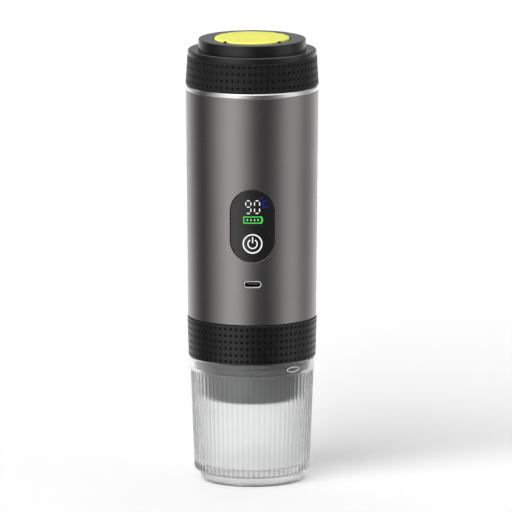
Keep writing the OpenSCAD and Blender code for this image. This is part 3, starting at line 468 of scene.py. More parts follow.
def rib_painted_shade(axes):
    """Painted shade of the ribbed wall: darker in the valleys, at the sides, round the floor and over the
    foot, and dark along the foot's bottom edge.
    """
    height = axes.outputs["Z"]
    # Painted shade in the rib valleys, deeper as dashes round the floor; it fades out under the band and at
    # the foot
    turn = math_node("ARCTAN2", axes.outputs["Y"], axes.outputs["X"])
    wave = math_node("COSINE", math_node("MULTIPLY", turn, RIBS))
    valley = math_node("MULTIPLY_ADD", wave, 0.5, 0.5)
    below = level_step(height, BAND_Z, BAND_Z - RIB_END)
    above = level_step(height, FOOT_H, FOOT_H + FOOT_BLEND)
    valley = math_node("MULTIPLY", valley, math_node("MULTIPLY", below, above))
    # Painted shade round the floor and over the foot
    base = level_step(height, CUP_FLOOR_Z + FLOOR_BLEND, CUP_FLOOR_Z)
    depth = math_node("MULTIPLY_ADD", base, DASH_PAINTED_SHADE, VALLEY_PAINTED_SHADE)
    grey = math_node("MULTIPLY_ADD", base, BASE_PAINTED_SHADE, math_node("MULTIPLY", valley, depth))
    # Painted contact shade along the foot's bottom edge
    grey = math_node("ADD", grey, level_step(height, *FOOT_EDGE_SHADE_LEVELS, 0.0, FOOT_EDGE_PAINTED_SHADE))
    # Painted shade at the sides of the wall, where it is seen edge on
    wall = math_node("MULTIPLY", below, level_step(height, CUP_FLOOR_Z, 2 * CUP_FLOOR_Z))
    side = math_node("MULTIPLY", wall, turned_away(axes.id_data, SIDE_SHADE_FACING, SIDE_PAINTED_SHADE))
    grey = math_node("ADD", grey, side)
    return ramp(grey, RIB_WHITE, (0.0, 0.0, 0.0), 0.0, 1.0)


def gunmetal_finish():
    """Satin anodised metal: fine grain, faintly drawn along the tube."""
    material, tree, shader = new_material("gunmetal")
    grain = object_noise(tree, 2400, detail=4, stretch=(1, 1, 0.35))
    set_inputs(shader, {
        "Metallic": 1.0, "Roughness": spread(grain, 0.25, 0.31),
        "Base Color": ramp(object_noise(tree, 28), (0.318, 0.304, 0.303), (0.342, 0.327, 0.325)),
    })
    add_bump(shader, grain, 0.06, 0.004)
    return material


def lens_finish():
    """Smoked glossy lens with faint handling marks in its gloss."""
    material, tree, shader = new_material("lens_smoke")
    set_inputs(shader, {
        "Base Color": (0.006, 0.006, 0.0065, 1), "Coat Weight": 0.3, "Coat Roughness": 0.08,
        "Roughness": spread(object_noise(tree, 160, detail=5), 0.17, 0.25),
    })
    return material


def board_finish():
    """Green circuit board with lighter tracks."""
    material, tree, shader = new_material("board_green")
    brick = add_node(tree, "ShaderNodeTexBrick", {
        "Vector": object_place(tree), "Scale": 320, "Mortar Size": 0.03, "Color1": (0.01, 0.09, 0.04, 1),
        "Color2": (0.012, 0.11, 0.05, 1), "Mortar": (0.05, 0.24, 0.12, 1),
    })
    set_inputs(shader, {"Roughness": 0.4, "Base Color": brick.outputs["Color"]})
    add_bump(shader, brick.outputs["Fac"], 0.3, 0.03)
    return material


# Finishes of the record's slots; a plain one is colour, roughness, metal, grain, variation, relief, specular
PLAIN_FINISHES = {
    "chamber_grey": ((0.011, 0.011, 0.0112), 0.5),
    "steel_plain": ((0.55, 0.55, 0.56), 0.32, 1.0, 1800, 0.06, 0.01, 0.5, (1, 1, 0.1)),
    "steel_polished": ((0.92, 0.92, 0.93), 0.1, 1.0, 1800, 0.02, 0.001),
    "silicone_black": ((0.008, 0.008, 0.008), 0.4, 0.0, 2600, 0.12, 0.01, 0.22),
    "plastic_black": ((0.006, 0.006, 0.0061), 0.2, 0.0, 2200, 0.08, 0.003),
    "silicone_clear": ((0.6, 0.6, 0.58), 0.5, 0.0, 1200),
    "silicone_red": ((0.33, 0.05, 0.03), 0.5, 0.0, 1200),
    "button_yellow": ((0.8, 0.79, 0.13), 0.55, 0.0, 2400, 0.02, 0.008, 0.25),
    "cell_wrap": ((0.03, 0.14, 0.34), 0.38, 0.0, 700),
    "brass_plain": ((0.62, 0.46, 0.2), 0.3, 1.0, 1500),
    "acetal_cream": ((0.72, 0.66, 0.5), 0.45, 0.0, 1200),
    "aluminium_plain": ((0.66, 0.66, 0.67), 0.4, 1.0, 1200),
}
FINISHES = {name: plain_finish(name, *look) for name, look in PLAIN_FINISHES.items()}
FINISHES["cup_frosted"] = frosted_finish("cup_frosted", 0.42, 0.95)
FINISHES["gunmetal"] = gunmetal_finish()
FINISHES["lens_smoke"] = lens_finish()
FINISHES["light_white"] = glowing_finish("light_white", (0.95, 0.95, 0.95))
FINISHES["board_green"] = board_finish()

# Finishes of single pieces
CUP_RIBBED = frosted_finish("cup_ribbed", 0.14, 0.98, True)
CUP_MARK = frosted_finish("cup_mark", 0.4, 0.55)
# The collar's black silicone: glossier than the lid grip's, with a darker colour that is painted shade
COLLAR_GLOSS_AND_SHADE = ((0.004, 0.004, 0.004), 0.3, 0.0, 2600, 0.12, 0.006, 0.45)
COLLAR_SHADED_SILICONE = plain_finish("collar_silicone_shaded", *COLLAR_GLOSS_AND_SHADE)
SOCKET_LIP = plain_finish("socket_lip", (0.48, 0.48, 0.49), 0.35, 0.25, 1800, 0.02, 0.002)
SOCKET_TONGUE = plain_finish("socket_tongue", (0.09, 0.09, 0.091), 0.4, 0.0, 1800)
# Dark metal for the socket's inside: painted shade in the slot
SOCKET_PAINTED_SHADE = plain_finish("socket_shaded_inside", (0.08, 0.08, 0.082), 0.45, 1.0, 1800)
GREEN_GLOW = glowing_finish("mark_green", (0.06, 0.66, 0.06))
DIM_GREEN = glowing_finish("mark_dim_green", (0.0, 0.03, 0.0))
BLUE_GLOW = glowing_finish("mark_blue", (0.009, 0.006, 0.18))
PALE_GLOW = glowing_finish("mark_pale", (0.62, 0.85, 0.6))

for part in frame["record"]["subparts"]:
    node = frame["nodes"][part["node"]]
    for entry in node.material_slots:
        entry.material = FINISHES[part["material_slot"]]


# Cup: frosted wall on a flared foot, ribbed outside, plain band under the rim

def cup_r(z):
    return lerp(CUP_BASE_R, CUP_RIM_R, (z - CUP_WALL_Z) / (CUP_H - CUP_WALL_Z))


def build_cup():
    columns = RIBS * RIB_STEPS
    angles = [pi / 2 + a for a in full_turn(columns)]
    sides = [2 * (k % RIB_STEPS) / RIB_STEPS - 1 for k in range(columns)]
    bore = cup_r(BAND_Z) - CUP_WALL
    low_bore = cup_r(CUP_FLOOR_Z) - CUP_WALL
    hollow_r = FOOT_R - FOOT_RING_W

    def plain(r, z):
        return [polar(r, a, z) for a in angles]

    def ribbed(r, z):
        """Loop of the wall at height z; the valleys run out under the band and in the lower corner."""
        near = max(0.0, 1 - (BAND_Z - z) / RIB_END)
        depths = [max(0.0, RIB_DEPTH * (s * s - near) + RIB_INSET * (1 - near)) for s in sides]
        return [polar(min(r, cup_r(z) - d), a, z) for a, d in zip(angles, depths)]

    foot = rounded([
        (0, FOOT_HOLLOW, 0), (hollow_r, FOOT_HOLLOW, MIDDLE_FILLET), (hollow_r, 0, WIDE_FILLET),
        (FOOT_R, 0, FOOT_ROUND), (FOOT_TOP_R, FOOT_H - FOOT_BEVEL_H, SMALL_FILLET),
        (FOOT_TOP_R - FOOT_BEVEL_W, FOOT_H, 0), (0, FOOT_H, 0),
    ])[:-1]
    bend = edge_arc(CUP_CORNER, CUP_CORNER_STEPS)
    corner = [(CUP_BASE_R - inset, CUP_WALL_Z - CUP_CORNER + rise) for inset, rise in bend]
    ribs_top = BAND_Z - RIB_END
    wall = evenly(CUP_WALL_Z, ribs_top, RIB_LEVELS)[1:] + evenly(ribs_top, BAND_Z, RIB_END_LEVELS)[1:]
    rim = rounded([
        (cup_r(BAND_Z), BAND_Z, 0), (CUP_RIM_R, CUP_H, BROAD_FILLET), (bore, CUP_H, WIDE_FILLET),
        (bore, BAND_Z, 0),
    ])[1:]
    inside = rounded([
        (bore, BAND_Z, 0), (low_bore, CUP_FLOOR_Z, INSIDE_CORNER), (0, CUP_FLOOR_Z, 0),
    ])[1:]
    shell = Shell()
    loops = [plain(r, z) for r, z in foot] + [ribbed(r, z) for r, z in corner]
    loops += [ribbed(cup_r(z), z) for z in wall] + [plain(r, z) for r, z in rim]
    shell.bridge(loops)
    first = len(shell.faces)
    shell.bridge([loops[-1]] + [plain(r, z) for r, z in inside])
    shell.mark_inner(first)
    add_piece("frosted_cup", shell, "cup", "cup_frosted", ["cup"], CUP_RIBBED, FINISHES["cup_frosted"])


# Brew chamber: pot hung in the cup from a flange, with a rounded lower corner

POT_R = 26.4
POT_BORE_R = 24.6
POT_ROUND = 4.4
POT_LIP_W = 0.8
POT_LIP_SLOPE = 3.0
POT_FLOOR_Z = 48.0
POT_FLOOR_TOP = 50.0
SPIGOT_R = 30.29
SPIGOT_Z = 60.4
SPIGOT_ROOT_FILLET = 1.0
FLANGE_Z = 66.4
FLANGE_TOP = 67.6
NECK_R = 26.6
NECK_FILLET = 0.3
SPOUT_HOLE_R = 4.05


def build_chamber():
    flange_r, chamber_z, neck_top = span("brew_chamber")
    lip_r = POT_R - POT_ROUND
    outline = rounded([
        (SPOUT_HOLE_R, POT_FLOOR_Z, 0), (lip_r - POT_LIP_SLOPE, POT_FLOOR_Z, 0),
        (lip_r - POT_LIP_W, chamber_z, MIDDLE_FILLET), (POT_R, chamber_z, POT_ROUND),
        (POT_R, SPIGOT_Z, SPIGOT_ROOT_FILLET), (SPIGOT_R, SPIGOT_Z, WIDE_FILLET), (SPIGOT_R, FLANGE_Z, 0),
        (flange_r, FLANGE_Z, SMALL_FILLET), (flange_r, FLANGE_TOP, SMALL_FILLET),
        (NECK_R, FLANGE_TOP, FINE_FILLET), (NECK_R, neck_top, NECK_FILLET),
        (POT_BORE_R, neck_top, NECK_FILLET), (POT_BORE_R, POT_FLOOR_TOP, 0),
        (SPOUT_HOLE_R, POT_FLOOR_TOP, 0),
    ])
    add_piece("brew_pot", lathe(outline), "brew_head", "chamber_grey", ["brew_chamber"])


# Oval rim moulded on the band of the cup; its section is (share of the line's width, share of its rise)

OVAL_AZIMUTH = radians(41)
OVAL_Z = 62.9
OVAL_HALF_W = 4.0
OVAL_HALF_H = 1.25
OVAL_LINE = 0.45
OVAL_RISE = 0.16
OVAL_STEPS = 72
OVAL_SECTION = ((-0.5, -0.12), (-0.5, 0.35), (-0.3, 1.0), (0.3, 1.0), (0.5, 0.35), (0.5, -0.12))


def build_oval():
    loops = []
    for across, rise in OVAL_SECTION:
        points = []
        for a in full_turn(OVAL_STEPS):
            x = (OVAL_HALF_W + OVAL_LINE * across) * cos(a)
            z = OVAL_Z + (OVAL_HALF_H + OVAL_LINE * across) * sin(a)
            r = cup_r(z) + OVAL_RISE * rise
            points.append(polar(r, OVAL_AZIMUTH + x / r, z))
        loops.append(points)
    shell = Shell()
    shell.bridge(loops, ring=True)
    add_piece("cup_oval", shell, "cup", "cup_frosted", material=CUP_MARK)


# Grips: silicone sleeves with rows of round dimples; a dimple is (radius, depth) rings

DIMPLE_COLUMNS = 70
DIMPLE_RINGS = (
    (0.95, 0.0), (0.75, 0.03), (0.67, 0.18), (0.59, 0.45), (0.4, 0.8), (0.18, 0.93), (0.0, 0.95),
)
DIMPLE_CELL_H = 2.5
CELL_STEPS = 4
EDGE_STEPS = 4
GRIP_EDGE = 0.5
COLLAR_LOW_R = 33.6
COLLAR_ROWS = [COLLAR_Z + 1.75 + 3.46 * k for k in range(6)]
COLLAR_PHASE = radians(0.85)
LID_GRIP_STEP = 0.25
LID_GRIP_TOP_R = SHOULDER_R + LID_GRIP_STEP
LID_SKIRT_R = 33.0
LID_ROWS = [LID_Z + 2.45 + 3.72 * k for k in range(4)]
LID_PHASE = radians(-2.1)


def dimpled_sleeve(name, body, node, low, high, low_r, high_r, bore_r, rows, phase, material):
    """Sleeve from low to high with dimple rows; phase is the azimuth of one column."""
    shell = Shell()
    pitch = 2 * pi * low_r / DIMPLE_COLUMNS
    border = cell_border(pitch, DIMPLE_CELL_H, CELL_STEPS, CELL_STEPS)
    steps = evenly(-pitch / 2, pitch * (DIMPLE_COLUMNS - 0.5), DIMPLE_COLUMNS * CELL_STEPS)[:-1]

    def wall(u, z, inset):
        return polar(lerp(low_r, high_r, (z - low) / (high - low)) - inset, u / low_r + phase, z)

    def round_loop(r, z):
        return [polar(r, u / low_r + phase, z) for u in steps]

    def wall_loop(z):
        return [wall(u, z, 0) for u in steps]

    edge = edge_arc(GRIP_EDGE, EDGE_STEPS)[:-1]
    levels = [low + GRIP_EDGE]
    for z in rows:
        levels += [z - DIMPLE_CELL_H / 2, z + DIMPLE_CELL_H / 2]
    levels.append(high - GRIP_EDGE)
    foot = [round_loop(low_r - inset, low + rise) for inset, rise in edge]
    brow = [round_loop(high_r - inset, high - rise) for inset, rise in reversed(edge)]
    shell.bridge([round_loop(bore_r, low)] + foot + [wall_loop(levels[0])])
    for z0, z1 in zip(levels[0::2], levels[1::2]):
        shell.bridge([wall_loop(z0), wall_loop(z1)])
    shell.bridge([wall_loop(levels[-1])] + brow + [round_loop(bore_r, high), round_loop(bore_r, low)])
    for z in rows:
        for column in range(DIMPLE_COLUMNS):
            holed_cell(shell, wall, (pitch * column, z), border, 0, 0, DIMPLE_RINGS)
    add_piece(name, shell, body, "silicone_black", [node], material)


# Body tube: tapered satin skin with the window and the socket slot; cells round them are (low, high, rows)

BODY_LOW_R = 33.85
BODY_WALL = 1.6
FRONT_HALF = 16.0
FRONT_COLUMNS = 64
BACK_COLUMNS = 176
WINDOW_HALF_W = 11.85
WINDOW_HALF_Z = (WINDOW_HIGH - WINDOW_LOW) / 2 - WINDOW_R
WINDOW_CELL_HALF = 24
WINDOW_CELL = (WINDOW_Z - WINDOW_CELL_HALF, WINDOW_Z + WINDOW_CELL_HALF, 64)
USB_CELL_HALF = 6
USB_CELL = (USB_Z - USB_CELL_HALF, USB_Z + USB_CELL_HALF, 16)
USB_SLOT_R = 1.83
USB_SLOT_HALF = 2.84
OPENING_RINGS = ((2.2, 0), (0.9, 0), (0.3, 0), (0.14, 0.02), (0.05, 0.08), (0, 0.2), (0, BODY_WALL))
OPENING_SPREAD = 14
TUBE_EDGE = 0.4
TUBE_EDGE_STEPS = 3


def body_r(z):
    return lerp(BODY_LOW_R, BODY_TOP_R, (z - BODY_Z) / (BODY_TOP - BODY_Z))


def front_wall(x, z, inset):
    """Point of the body's cone, drawn in by inset, straight in front of (x, z)."""
    r = body_r(z) - inset
    return (x, -sqrt(r * r - x * x), z)


def build_body():
    shell = Shell()
    xs = evenly(-FRONT_HALF, FRONT_HALF, FRONT_COLUMNS)

    def back_line(z, inset):
        r = body_r(z) - inset
        start = asin(FRONT_HALF / r)
        return [polar(r, a, z) for a in evenly(start, 2 * pi - start, BACK_COLUMNS)]

    def full_loop(z, inset):
        return [front_wall(x, z, inset) for x in xs] + back_line(z, inset)[1:-1]

    low, high = BODY_Z + TUBE_EDGE, BODY_TOP - TUBE_EDGE
    plain_bands = [(low, USB_CELL[0], 6), (USB_CELL[1], WINDOW_CELL[0], 2), (WINDOW_CELL[1], high, 16)]
    for inset in (0, BODY_WALL):
        for start, end, count in plain_bands:
            shell.bridge([full_loop(z, inset) for z in evenly(start, end, count)])
        for start, end, count in (USB_CELL, WINDOW_CELL):
            shell.bridge([back_line(z, inset) for z in evenly(start, end, count)], closed=False)
    edge = edge_arc(TUBE_EDGE, TUBE_EDGE_STEPS)
    for level, way in ((BODY_Z, 1), (BODY_TOP, -1)):
        loops = [full_loop(level + way * rise, inset) for inset, rise in reversed(edge)]
        loops.append(full_loop(level, BODY_WALL))
        loops.append(full_loop(level + way * TUBE_EDGE, BODY_WALL))
        shell.bridge(loops)
    openings = (
        (WINDOW_CELL, WINDOW_Z, 0, WINDOW_HALF_Z, WINDOW_HALF_W),
        (USB_CELL, USB_Z, USB_SLOT_HALF, 0, USB_SLOT_R),
    )
    for (start, end, count), z, half_x, half_z, radius in openings:
        border = cell_border(2 * FRONT_HALF, end - start, FRONT_COLUMNS, count)
        rings = [(radius + out, inset) for out, inset in OPENING_RINGS]
        holed_cell(shell, front_wall, (0, z), border, half_x, half_z, rings, OPENING_SPREAD, BODY_WALL)
    add_piece("body_skin", shell, "main_body", "gunmetal", ["body_tube"])


# Display lens: smoked pill, flush with the body, with a rounded edge and the button's hole

LENS_GAP = 0.1
LENS_INSET = 0.06
LENS_EDGE = 0.45
LENS_DEPTH = 1.4
LENS_SIDE_STEPS = 16
LENS_ARC_STEPS = 40
LENS_SPLIT_STEPS = 24
LENS_HOLE_SHARES = (0, 0.3, 0.6, 0.85, 1)
LENS_FILL_STEPS = 4
LIGHT_GAP = 0.06


def build_lens():
    shell = Shell()
    radius = WINDOW_HALF_W - LENS_GAP
    side = evenly(WINDOW_HALF_Z, -WINDOW_HALF_Z, LENS_SIDE_STEPS)[:-1]
    arc = evenly(0, pi, LENS_ARC_STEPS)[:-1]
    spine = []
    for way in (1, -1):
        spine += [(way, 0.0, way * z) for z in side]
        spine += [(way * cos(a), -way * sin(a), -way * WINDOW_HALF_Z) for a in arc]
    split = LENS_SIDE_STEPS // 2
    other = split + LENS_SIDE_STEPS + LENS_ARC_STEPS
    button = POWER_Z - WINDOW_Z
    hole_r = LIGHT_R + LIGHT_GAP / 2

    def pill(r):
        return [(r * dx, z + r * dz) for dx, dz, z in spine]

    def placed(points, inset):
        return [front_wall(x, WINDOW_Z + z, inset) for x, z in points]

    def towards_hole(x, z, t):
        reach = hypot(x, z - button)
        return blend((x, z), (hole_r * x / reach, button + hole_r * (z - button) / reach), t)

    def region(r, inset):
        """The front or back face: an upper part filled to its middle and a lower part round the hole."""
        outline = pill(r)
        line = [(x, 0.0) for x in evenly(-r, r, LENS_SPLIT_STEPS)[1:-1]]
        lower = outline[split:other + 1] + line
        upper = outline[other:] + outline[:split + 1] + line[::-1]
        rings = [[towards_hole(x, z, t) for x, z in lower] for t in LENS_HOLE_SHARES]
        shell.bridge([placed(ring, inset) for ring in rings])
        centre = 0.5 * (WINDOW_HALF_Z + r)
        shares = evenly(0, 1, LENS_FILL_STEPS)
        fills = [[(x * (1 - t), lerp(z, centre, t)) for x, z in upper] for t in shares]
        shell.bridge([placed(points, inset) for points in fills])
        return rings[-1]

    bend = reversed(edge_arc(LENS_EDGE, EDGE_STEPS))
    edge = [(radius - rise, LENS_INSET + inset) for inset, rise in bend]
    shell.bridge([placed(pill(r), inset) for r, inset in edge] + [placed(pill(radius), LENS_DEPTH)])
    front_hole = region(radius - LENS_EDGE, LENS_INSET)
    back_hole = region(radius, LENS_DEPTH)
    shell.bridge([placed(front_hole, LENS_INSET), placed(back_hole, LENS_DEPTH)])
    add_piece("lens_glass", shell, "main_body", "lens_smoke", ["display_lens"])


# Light ring and power button

LIGHT_LINE = 0.62
CAP_GAP = 0.1
CAP_EDGE = 0.12
RING_STEPS = 96


def button_loop(radius, inset):
    angles = full_turn(RING_STEPS)
    return [front_wall(radius * sin(a), POWER_Z + radius * cos(a), inset) for a in angles]


def cap_edge(radius, way):
    """Rounded front edge as (radius, inset) pairs, from the side to the front; way -1 is an outer edge."""
    return [
        (radius, LENS_INSET + CAP_EDGE), (radius + way * CAP_EDGE / 3, LENS_INSET + CAP_EDGE / 3),
        (radius + way * CAP_EDGE, LENS_INSET),
    ]


def build_light_ring():
    inner = LIGHT_R - LIGHT_LINE
    profile = [(LIGHT_R, LENS_DEPTH)] + cap_edge(LIGHT_R, -1)
    profile += cap_edge(inner, 1)[::-1] + [(inner, LENS_DEPTH)]
    shell = Shell()
    shell.bridge([button_loop(r, inset) for r, inset in profile], ring=True)
    add_piece("light_guide", shell, "main_body", "light_white", ["light_ring"])


def build_power_button():
    r = LIGHT_R - LIGHT_LINE - CAP_GAP
    profile = [(0, LENS_DEPTH), (r, LENS_DEPTH)] + cap_edge(r, -1)
    profile += [(share * r, LENS_INSET) for share in (0.66, 0.33, 0)]
    shell = Shell()
    shell.bridge([button_loop(radius, inset) for radius, inset in profile])
    add_piece("power_cap", shell, "power_key", "lens_smoke", ["power_button"])


# Lit marks: thin ribbons that follow the lens

MARK_RISE = 0.03
MARK_ROOT = 0.04
MARK_STEP = 0.5
MARK_CAP_ANGLES = [radians(a) for a in (20, 40, 60, 78)]


def ribbon(shell, path, half_widths):
    """Thin strip along a path of (x, z) points that rises a little from the lens."""
    top, root = LENS_INSET - MARK_RISE, LENS_INSET + MARK_ROOT
    loops = []
    for i, ((x, z), half) in enumerate(zip(path, half_widths)):
        ahead = path[min(i + 1, len(path) - 1)]
        behind = path[max(i - 1, 0)]
        length = dist(ahead, behind)
        nx, nz = half * (behind[1] - ahead[1]) / length, half * (ahead[0] - behind[0]) / length
        left, right = (x + nx, z + nz), (x - nx, z - nz)
        sides = ((left, root), (left, top), (right, top), (right, root))
        loops.append([front_wall(*point, inset) for point, inset in sides])
    shell.solid(loops)


def stroke(shell, points, width):
    """Round-ended line of even width along a polyline."""
    path = [points[0]]
    for a, b in zip(points, points[1:]):
        count = max(1, ceil(dist(a, b) / MARK_STEP))
        path += [blend(a, b, t) for t in evenly(0, 1, count)[1:]]
    half = width / 2

    def capped(start, ahead):
        """End-cap points outwards from start."""
        length = dist(start, ahead)
        ux, uz = half * (start[0] - ahead[0]) / length, half * (start[1] - ahead[1]) / length
        return [(start[0] + ux * sin(a), start[1] + uz * sin(a)) for a in MARK_CAP_ANGLES]

    narrowing = [half * cos(a) for a in MARK_CAP_ANGLES]
    whole = capped(path[0], path[1])[::-1] + path + capped(path[-1], path[-2])
    ribbon(shell, whole, narrowing[::-1] + [half] * len(path) + narrowing)


# A digit is lit segments; each segment runs between two shares of the digit's half width and half height
DIGIT_Z = WINDOW_Z + 10.2
DIGIT_X = (-2.25, 2.35)
DIGIT_HALF_W = 1.33
DIGIT_HALF_H = 3.33
SEGMENT_W = 0.52
SEGMENT_LINES = {
    "a": ((-0.42, 1.0), (0.42, 1.0)), "d": ((-0.42, -1.0), (0.42, -1.0)), "g": ((-0.42, 0.0), (0.42, 0.0)),
    "b": ((1.0, 0.3), (1.0, 0.72)), "c": ((1.0, -0.72), (1.0, -0.3)),
    "e": ((-1.0, -0.72), (-1.0, -0.3)), "f": ((-1.0, 0.3), (-1.0, 0.72)),
}
DIGITS = ("abcdfg", "abcdef")
UNIT_DOT = (4.55, WINDOW_Z + 14.95)
UNIT_DOT_R = 0.75
UNIT_DOT_HALF = 0.05
UNIT_X = (5.5, 7.9)
UNIT_Z = (WINDOW_Z + 10.15, WINDOW_Z + 13.45)
UNIT_LINE = 0.95
UNIT_SHARES = (0.12, 0.88)
BATTERY_X = (-4.6, 4.1)
BATTERY_Z = (WINDOW_Z + 1.65, WINDOW_Z + 4.9)
BATTERY_LINE = 0.55
BATTERY_TIP = 5.0
BATTERY_TIP_LINE = 1.0
BATTERY_TIP_ANGLES = [radians(a) for a in range(75, -76, -15)]
BATTERY_DOTS = (-2.75, -0.85, 1.05, 2.9)
BATTERY_DOT_R = 0.27
BATTERY_DOT_HALF = 0.25
BATTERY_DOT_OUT = 0.012
BATTERY_GLOW_X = (BATTERY_X[0] + 0.9, BATTERY_X[1] + 0.1)
BATTERY_GLOW_LINE = 0.74
BATTERY_GLOW_PITCH = 0.75
POWER_R = 2.43
POWER_LINE = 0.58
POWER_GAP = radians(37)
POWER_STEPS = 48
POWER_BAR = (0.65, 3.4)


def build_digits():
    digits = Shell()
    for name, x in zip(DIGITS, DIGIT_X):
        for letter in name:
            line = [(x + u * DIGIT_HALF_W, DIGIT_Z + v * DIGIT_HALF_H) for u, v in SEGMENT_LINES[letter]]
            stroke(digits, line, SEGMENT_W)
    add_piece("digit_marks", digits, "main_body", "light_white")


def build_unit_mark():
    mark = Shell()
    x, z = UNIT_DOT
    stroke(mark, [(x - UNIT_DOT_HALF, z), (x + UNIT_DOT_HALF, z)], 2 * UNIT_DOT_R)
    (left, right), (low, high) = UNIT_X, UNIT_Z
    corners = [(right, high), (left, high), (left, low), (right, low)]
    for a, b in zip(corners, corners[1:]):
        stroke(mark, [blend(a, b, t) for t in UNIT_SHARES], UNIT_LINE)
    add_piece("unit_mark", mark, "main_body", "light_white", material=BLUE_GLOW)


def build_battery_mark():
    (left, right), (low, high) = BATTERY_X, BATTERY_Z
    middle, half = (low + high) / 2, (high - low) / 2
    reach = BATTERY_TIP - right
    battery = Shell()
    for line in ([(left, low), (left, high)], [(left, high), (right, high)], [(left, low), (right, low)]):
        stroke(battery, line, BATTERY_LINE)
    bulge = [(right + reach * cos(a), middle + half * sin(a)) for a in BATTERY_TIP_ANGLES]
    stroke(battery, bulge, BATTERY_TIP_LINE)
    add_piece("battery_mark", battery, "main_body", "light_white", material=GREEN_GLOW)

    glow = Shell()
    for step in (-1, 0, 1):
        z = middle + step * BATTERY_GLOW_PITCH
        stroke(glow, [(x, z) for x in BATTERY_GLOW_X], BATTERY_GLOW_LINE)
    add_piece("battery_glow", glow, "main_body", "light_white", material=DIM_GREEN)

    dots = Shell()
    for x in BATTERY_DOTS:
        stroke(dots, [(x, middle - BATTERY_DOT_HALF), (x, middle + BATTERY_DOT_HALF)], 2 * BATTERY_DOT_R)
    piece = add_piece("battery_dots", dots, "main_body", "light_white", material=PALE_GLOW)
    piece.location.y -= BATTERY_DOT_OUT * MM


def build_power_mark():
    power = Shell()
    sweep = evenly(POWER_GAP, 2 * pi - POWER_GAP, POWER_STEPS)
    stroke(power, [(POWER_R * sin(a), POWER_Z + POWER_R * cos(a)) for a in sweep], POWER_LINE)
    stroke(power, [(0, POWER_Z + up) for up in POWER_BAR], POWER_LINE)
    add_piece("power_mark", power, "power_key", "light_white")


# Charging socket: rolled shell with a rounded lip, tongue and contacts

USB_SHEET = 0.32
USB_FLOOR = 0.8
USB_LIP_W = 0.18
USB_LIP_OUT = 0.22
USB_LIP_DEPTH = 0.9
USB_BEAD_R = 0.32
USB_BEAD_STEPS = 9
USB_STEPS = 24
TONGUE_HALF_T = 0.35
TONGUE_TIP = ((0.3, 0.2), (0.18, 0.0))
TONGUE_TIP_L = 0.5
CONTACTS = 12
CONTACT_PITCH = 0.5
CONTACT_HALF_W = 0.14
CONTACT_FRONT = 0.6
CONTACT_BACK = 0.4
CONTACT_ROOT = 0.1
CONTACT_RISE = 0.03


def stadium_loop(half, radius, y):
    """Round-ended loop in a plane of constant y, wider than tall."""
    ends = [(half + radius * cos(a), radius * sin(a)) for a in evenly(-pi / 2, pi / 2, USB_STEPS)]
    return [(way * x, y, USB_Z + way * z) for way in (1, -1) for x, z in ends]


def build_socket_shell():
    front, back = USB_LOW.y - USB_LIP_OUT, USB_HIGH.y
    radius = (USB_HIGH.z - USB_LOW.z) / 2
    half = USB_HIGH.x - radius
    lip = [(0.0, USB_LIP_DEPTH)]
    for a in evenly(0, pi, USB_BEAD_STEPS):
        lip.append((lerp(-USB_LIP_W, USB_SHEET, 0.5 - 0.5 * cos(a)), USB_BEAD_R * (1 - sin(a))))
    outside = [stadium_loop(half, radius, back)]
    outside += [stadium_loop(half, radius - inset, front + depth) for inset, depth in lip]
    floor = stadium_loop(half, radius - USB_SHEET, back - USB_FLOOR)
    shell = Shell()
    shell.bridge(outside)
    # The inside faces take the dark metal, painted shade in the slot
    first = len(shell.faces)
    shell.bridge([outside[-1], floor])
    shell.cap(floor)
    shell.mark_inner(first)
    shell.cap(outside[0])
    add_piece("socket_shell", shell, "main_body", "steel_polished", ["usb_shell"], SOCKET_LIP, SOCKET_PAINTED_SHADE)


def build_socket_tongue():
    low, high = (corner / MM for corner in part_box("usb_tongue"))
    half = high.x - TONGUE_HALF_T
    steps = [(TONGUE_HALF_T, high.y), (TONGUE_HALF_T, low.y + TONGUE_TIP_L)]
    steps += [(radius, low.y + back) for radius, back in TONGUE_TIP]
    tongue = Shell()
    tongue.solid([stadium_loop(half, radius, y) for radius, y in steps])
    add_piece("socket_tongue", tongue, "main_body", "plastic_black", ["usb_tongue"], SOCKET_TONGUE)

    contacts = Shell()
    front, back = low.y + CONTACT_FRONT, high.y - CONTACT_BACK
    for k in range(CONTACTS):
        x = CONTACT_PITCH * (k - (CONTACTS - 1) / 2)
        left, right = x - CONTACT_HALF_W, x + CONTACT_HALF_W
        rim = [(left, front), (right, front), (right, back), (left, back)]
        for side in (-1, 1):
            levels = [USB_Z + side * (TONGUE_HALF_T + out) for out in (-CONTACT_ROOT, CONTACT_RISE)]
            contacts.solid([[(px, py, z) for px, py in rim] for z in levels])
    add_piece("socket_contacts", contacts, "main_body", "brass_plain")


# Trim ring: polished, bevelled at the top

TRIM_BORE_R = 31.0
TRIM_BEVEL_H = 0.8
TRIM_BEVEL_W = 0.4


def build_trim():
    outline = rounded([
        (TRIM_BORE_R, BODY_TOP, 0), (BODY_TOP_R, BODY_TOP, THIN_FILLET),
        (BODY_TOP_R, TRIM_TOP - TRIM_BEVEL_H, WIDE_FILLET),
        (BODY_TOP_R - TRIM_BEVEL_W, TRIM_TOP, SMALL_FILLET), (TRIM_BORE_R, TRIM_TOP, 0),
    ])
    add_piece("trim_band", lathe(outline), "main_body", "steel_polished", ["trim_ring"])


# Lid shell: threaded skirt with a rounded shoulder; the thread's section is (out, up) from its line

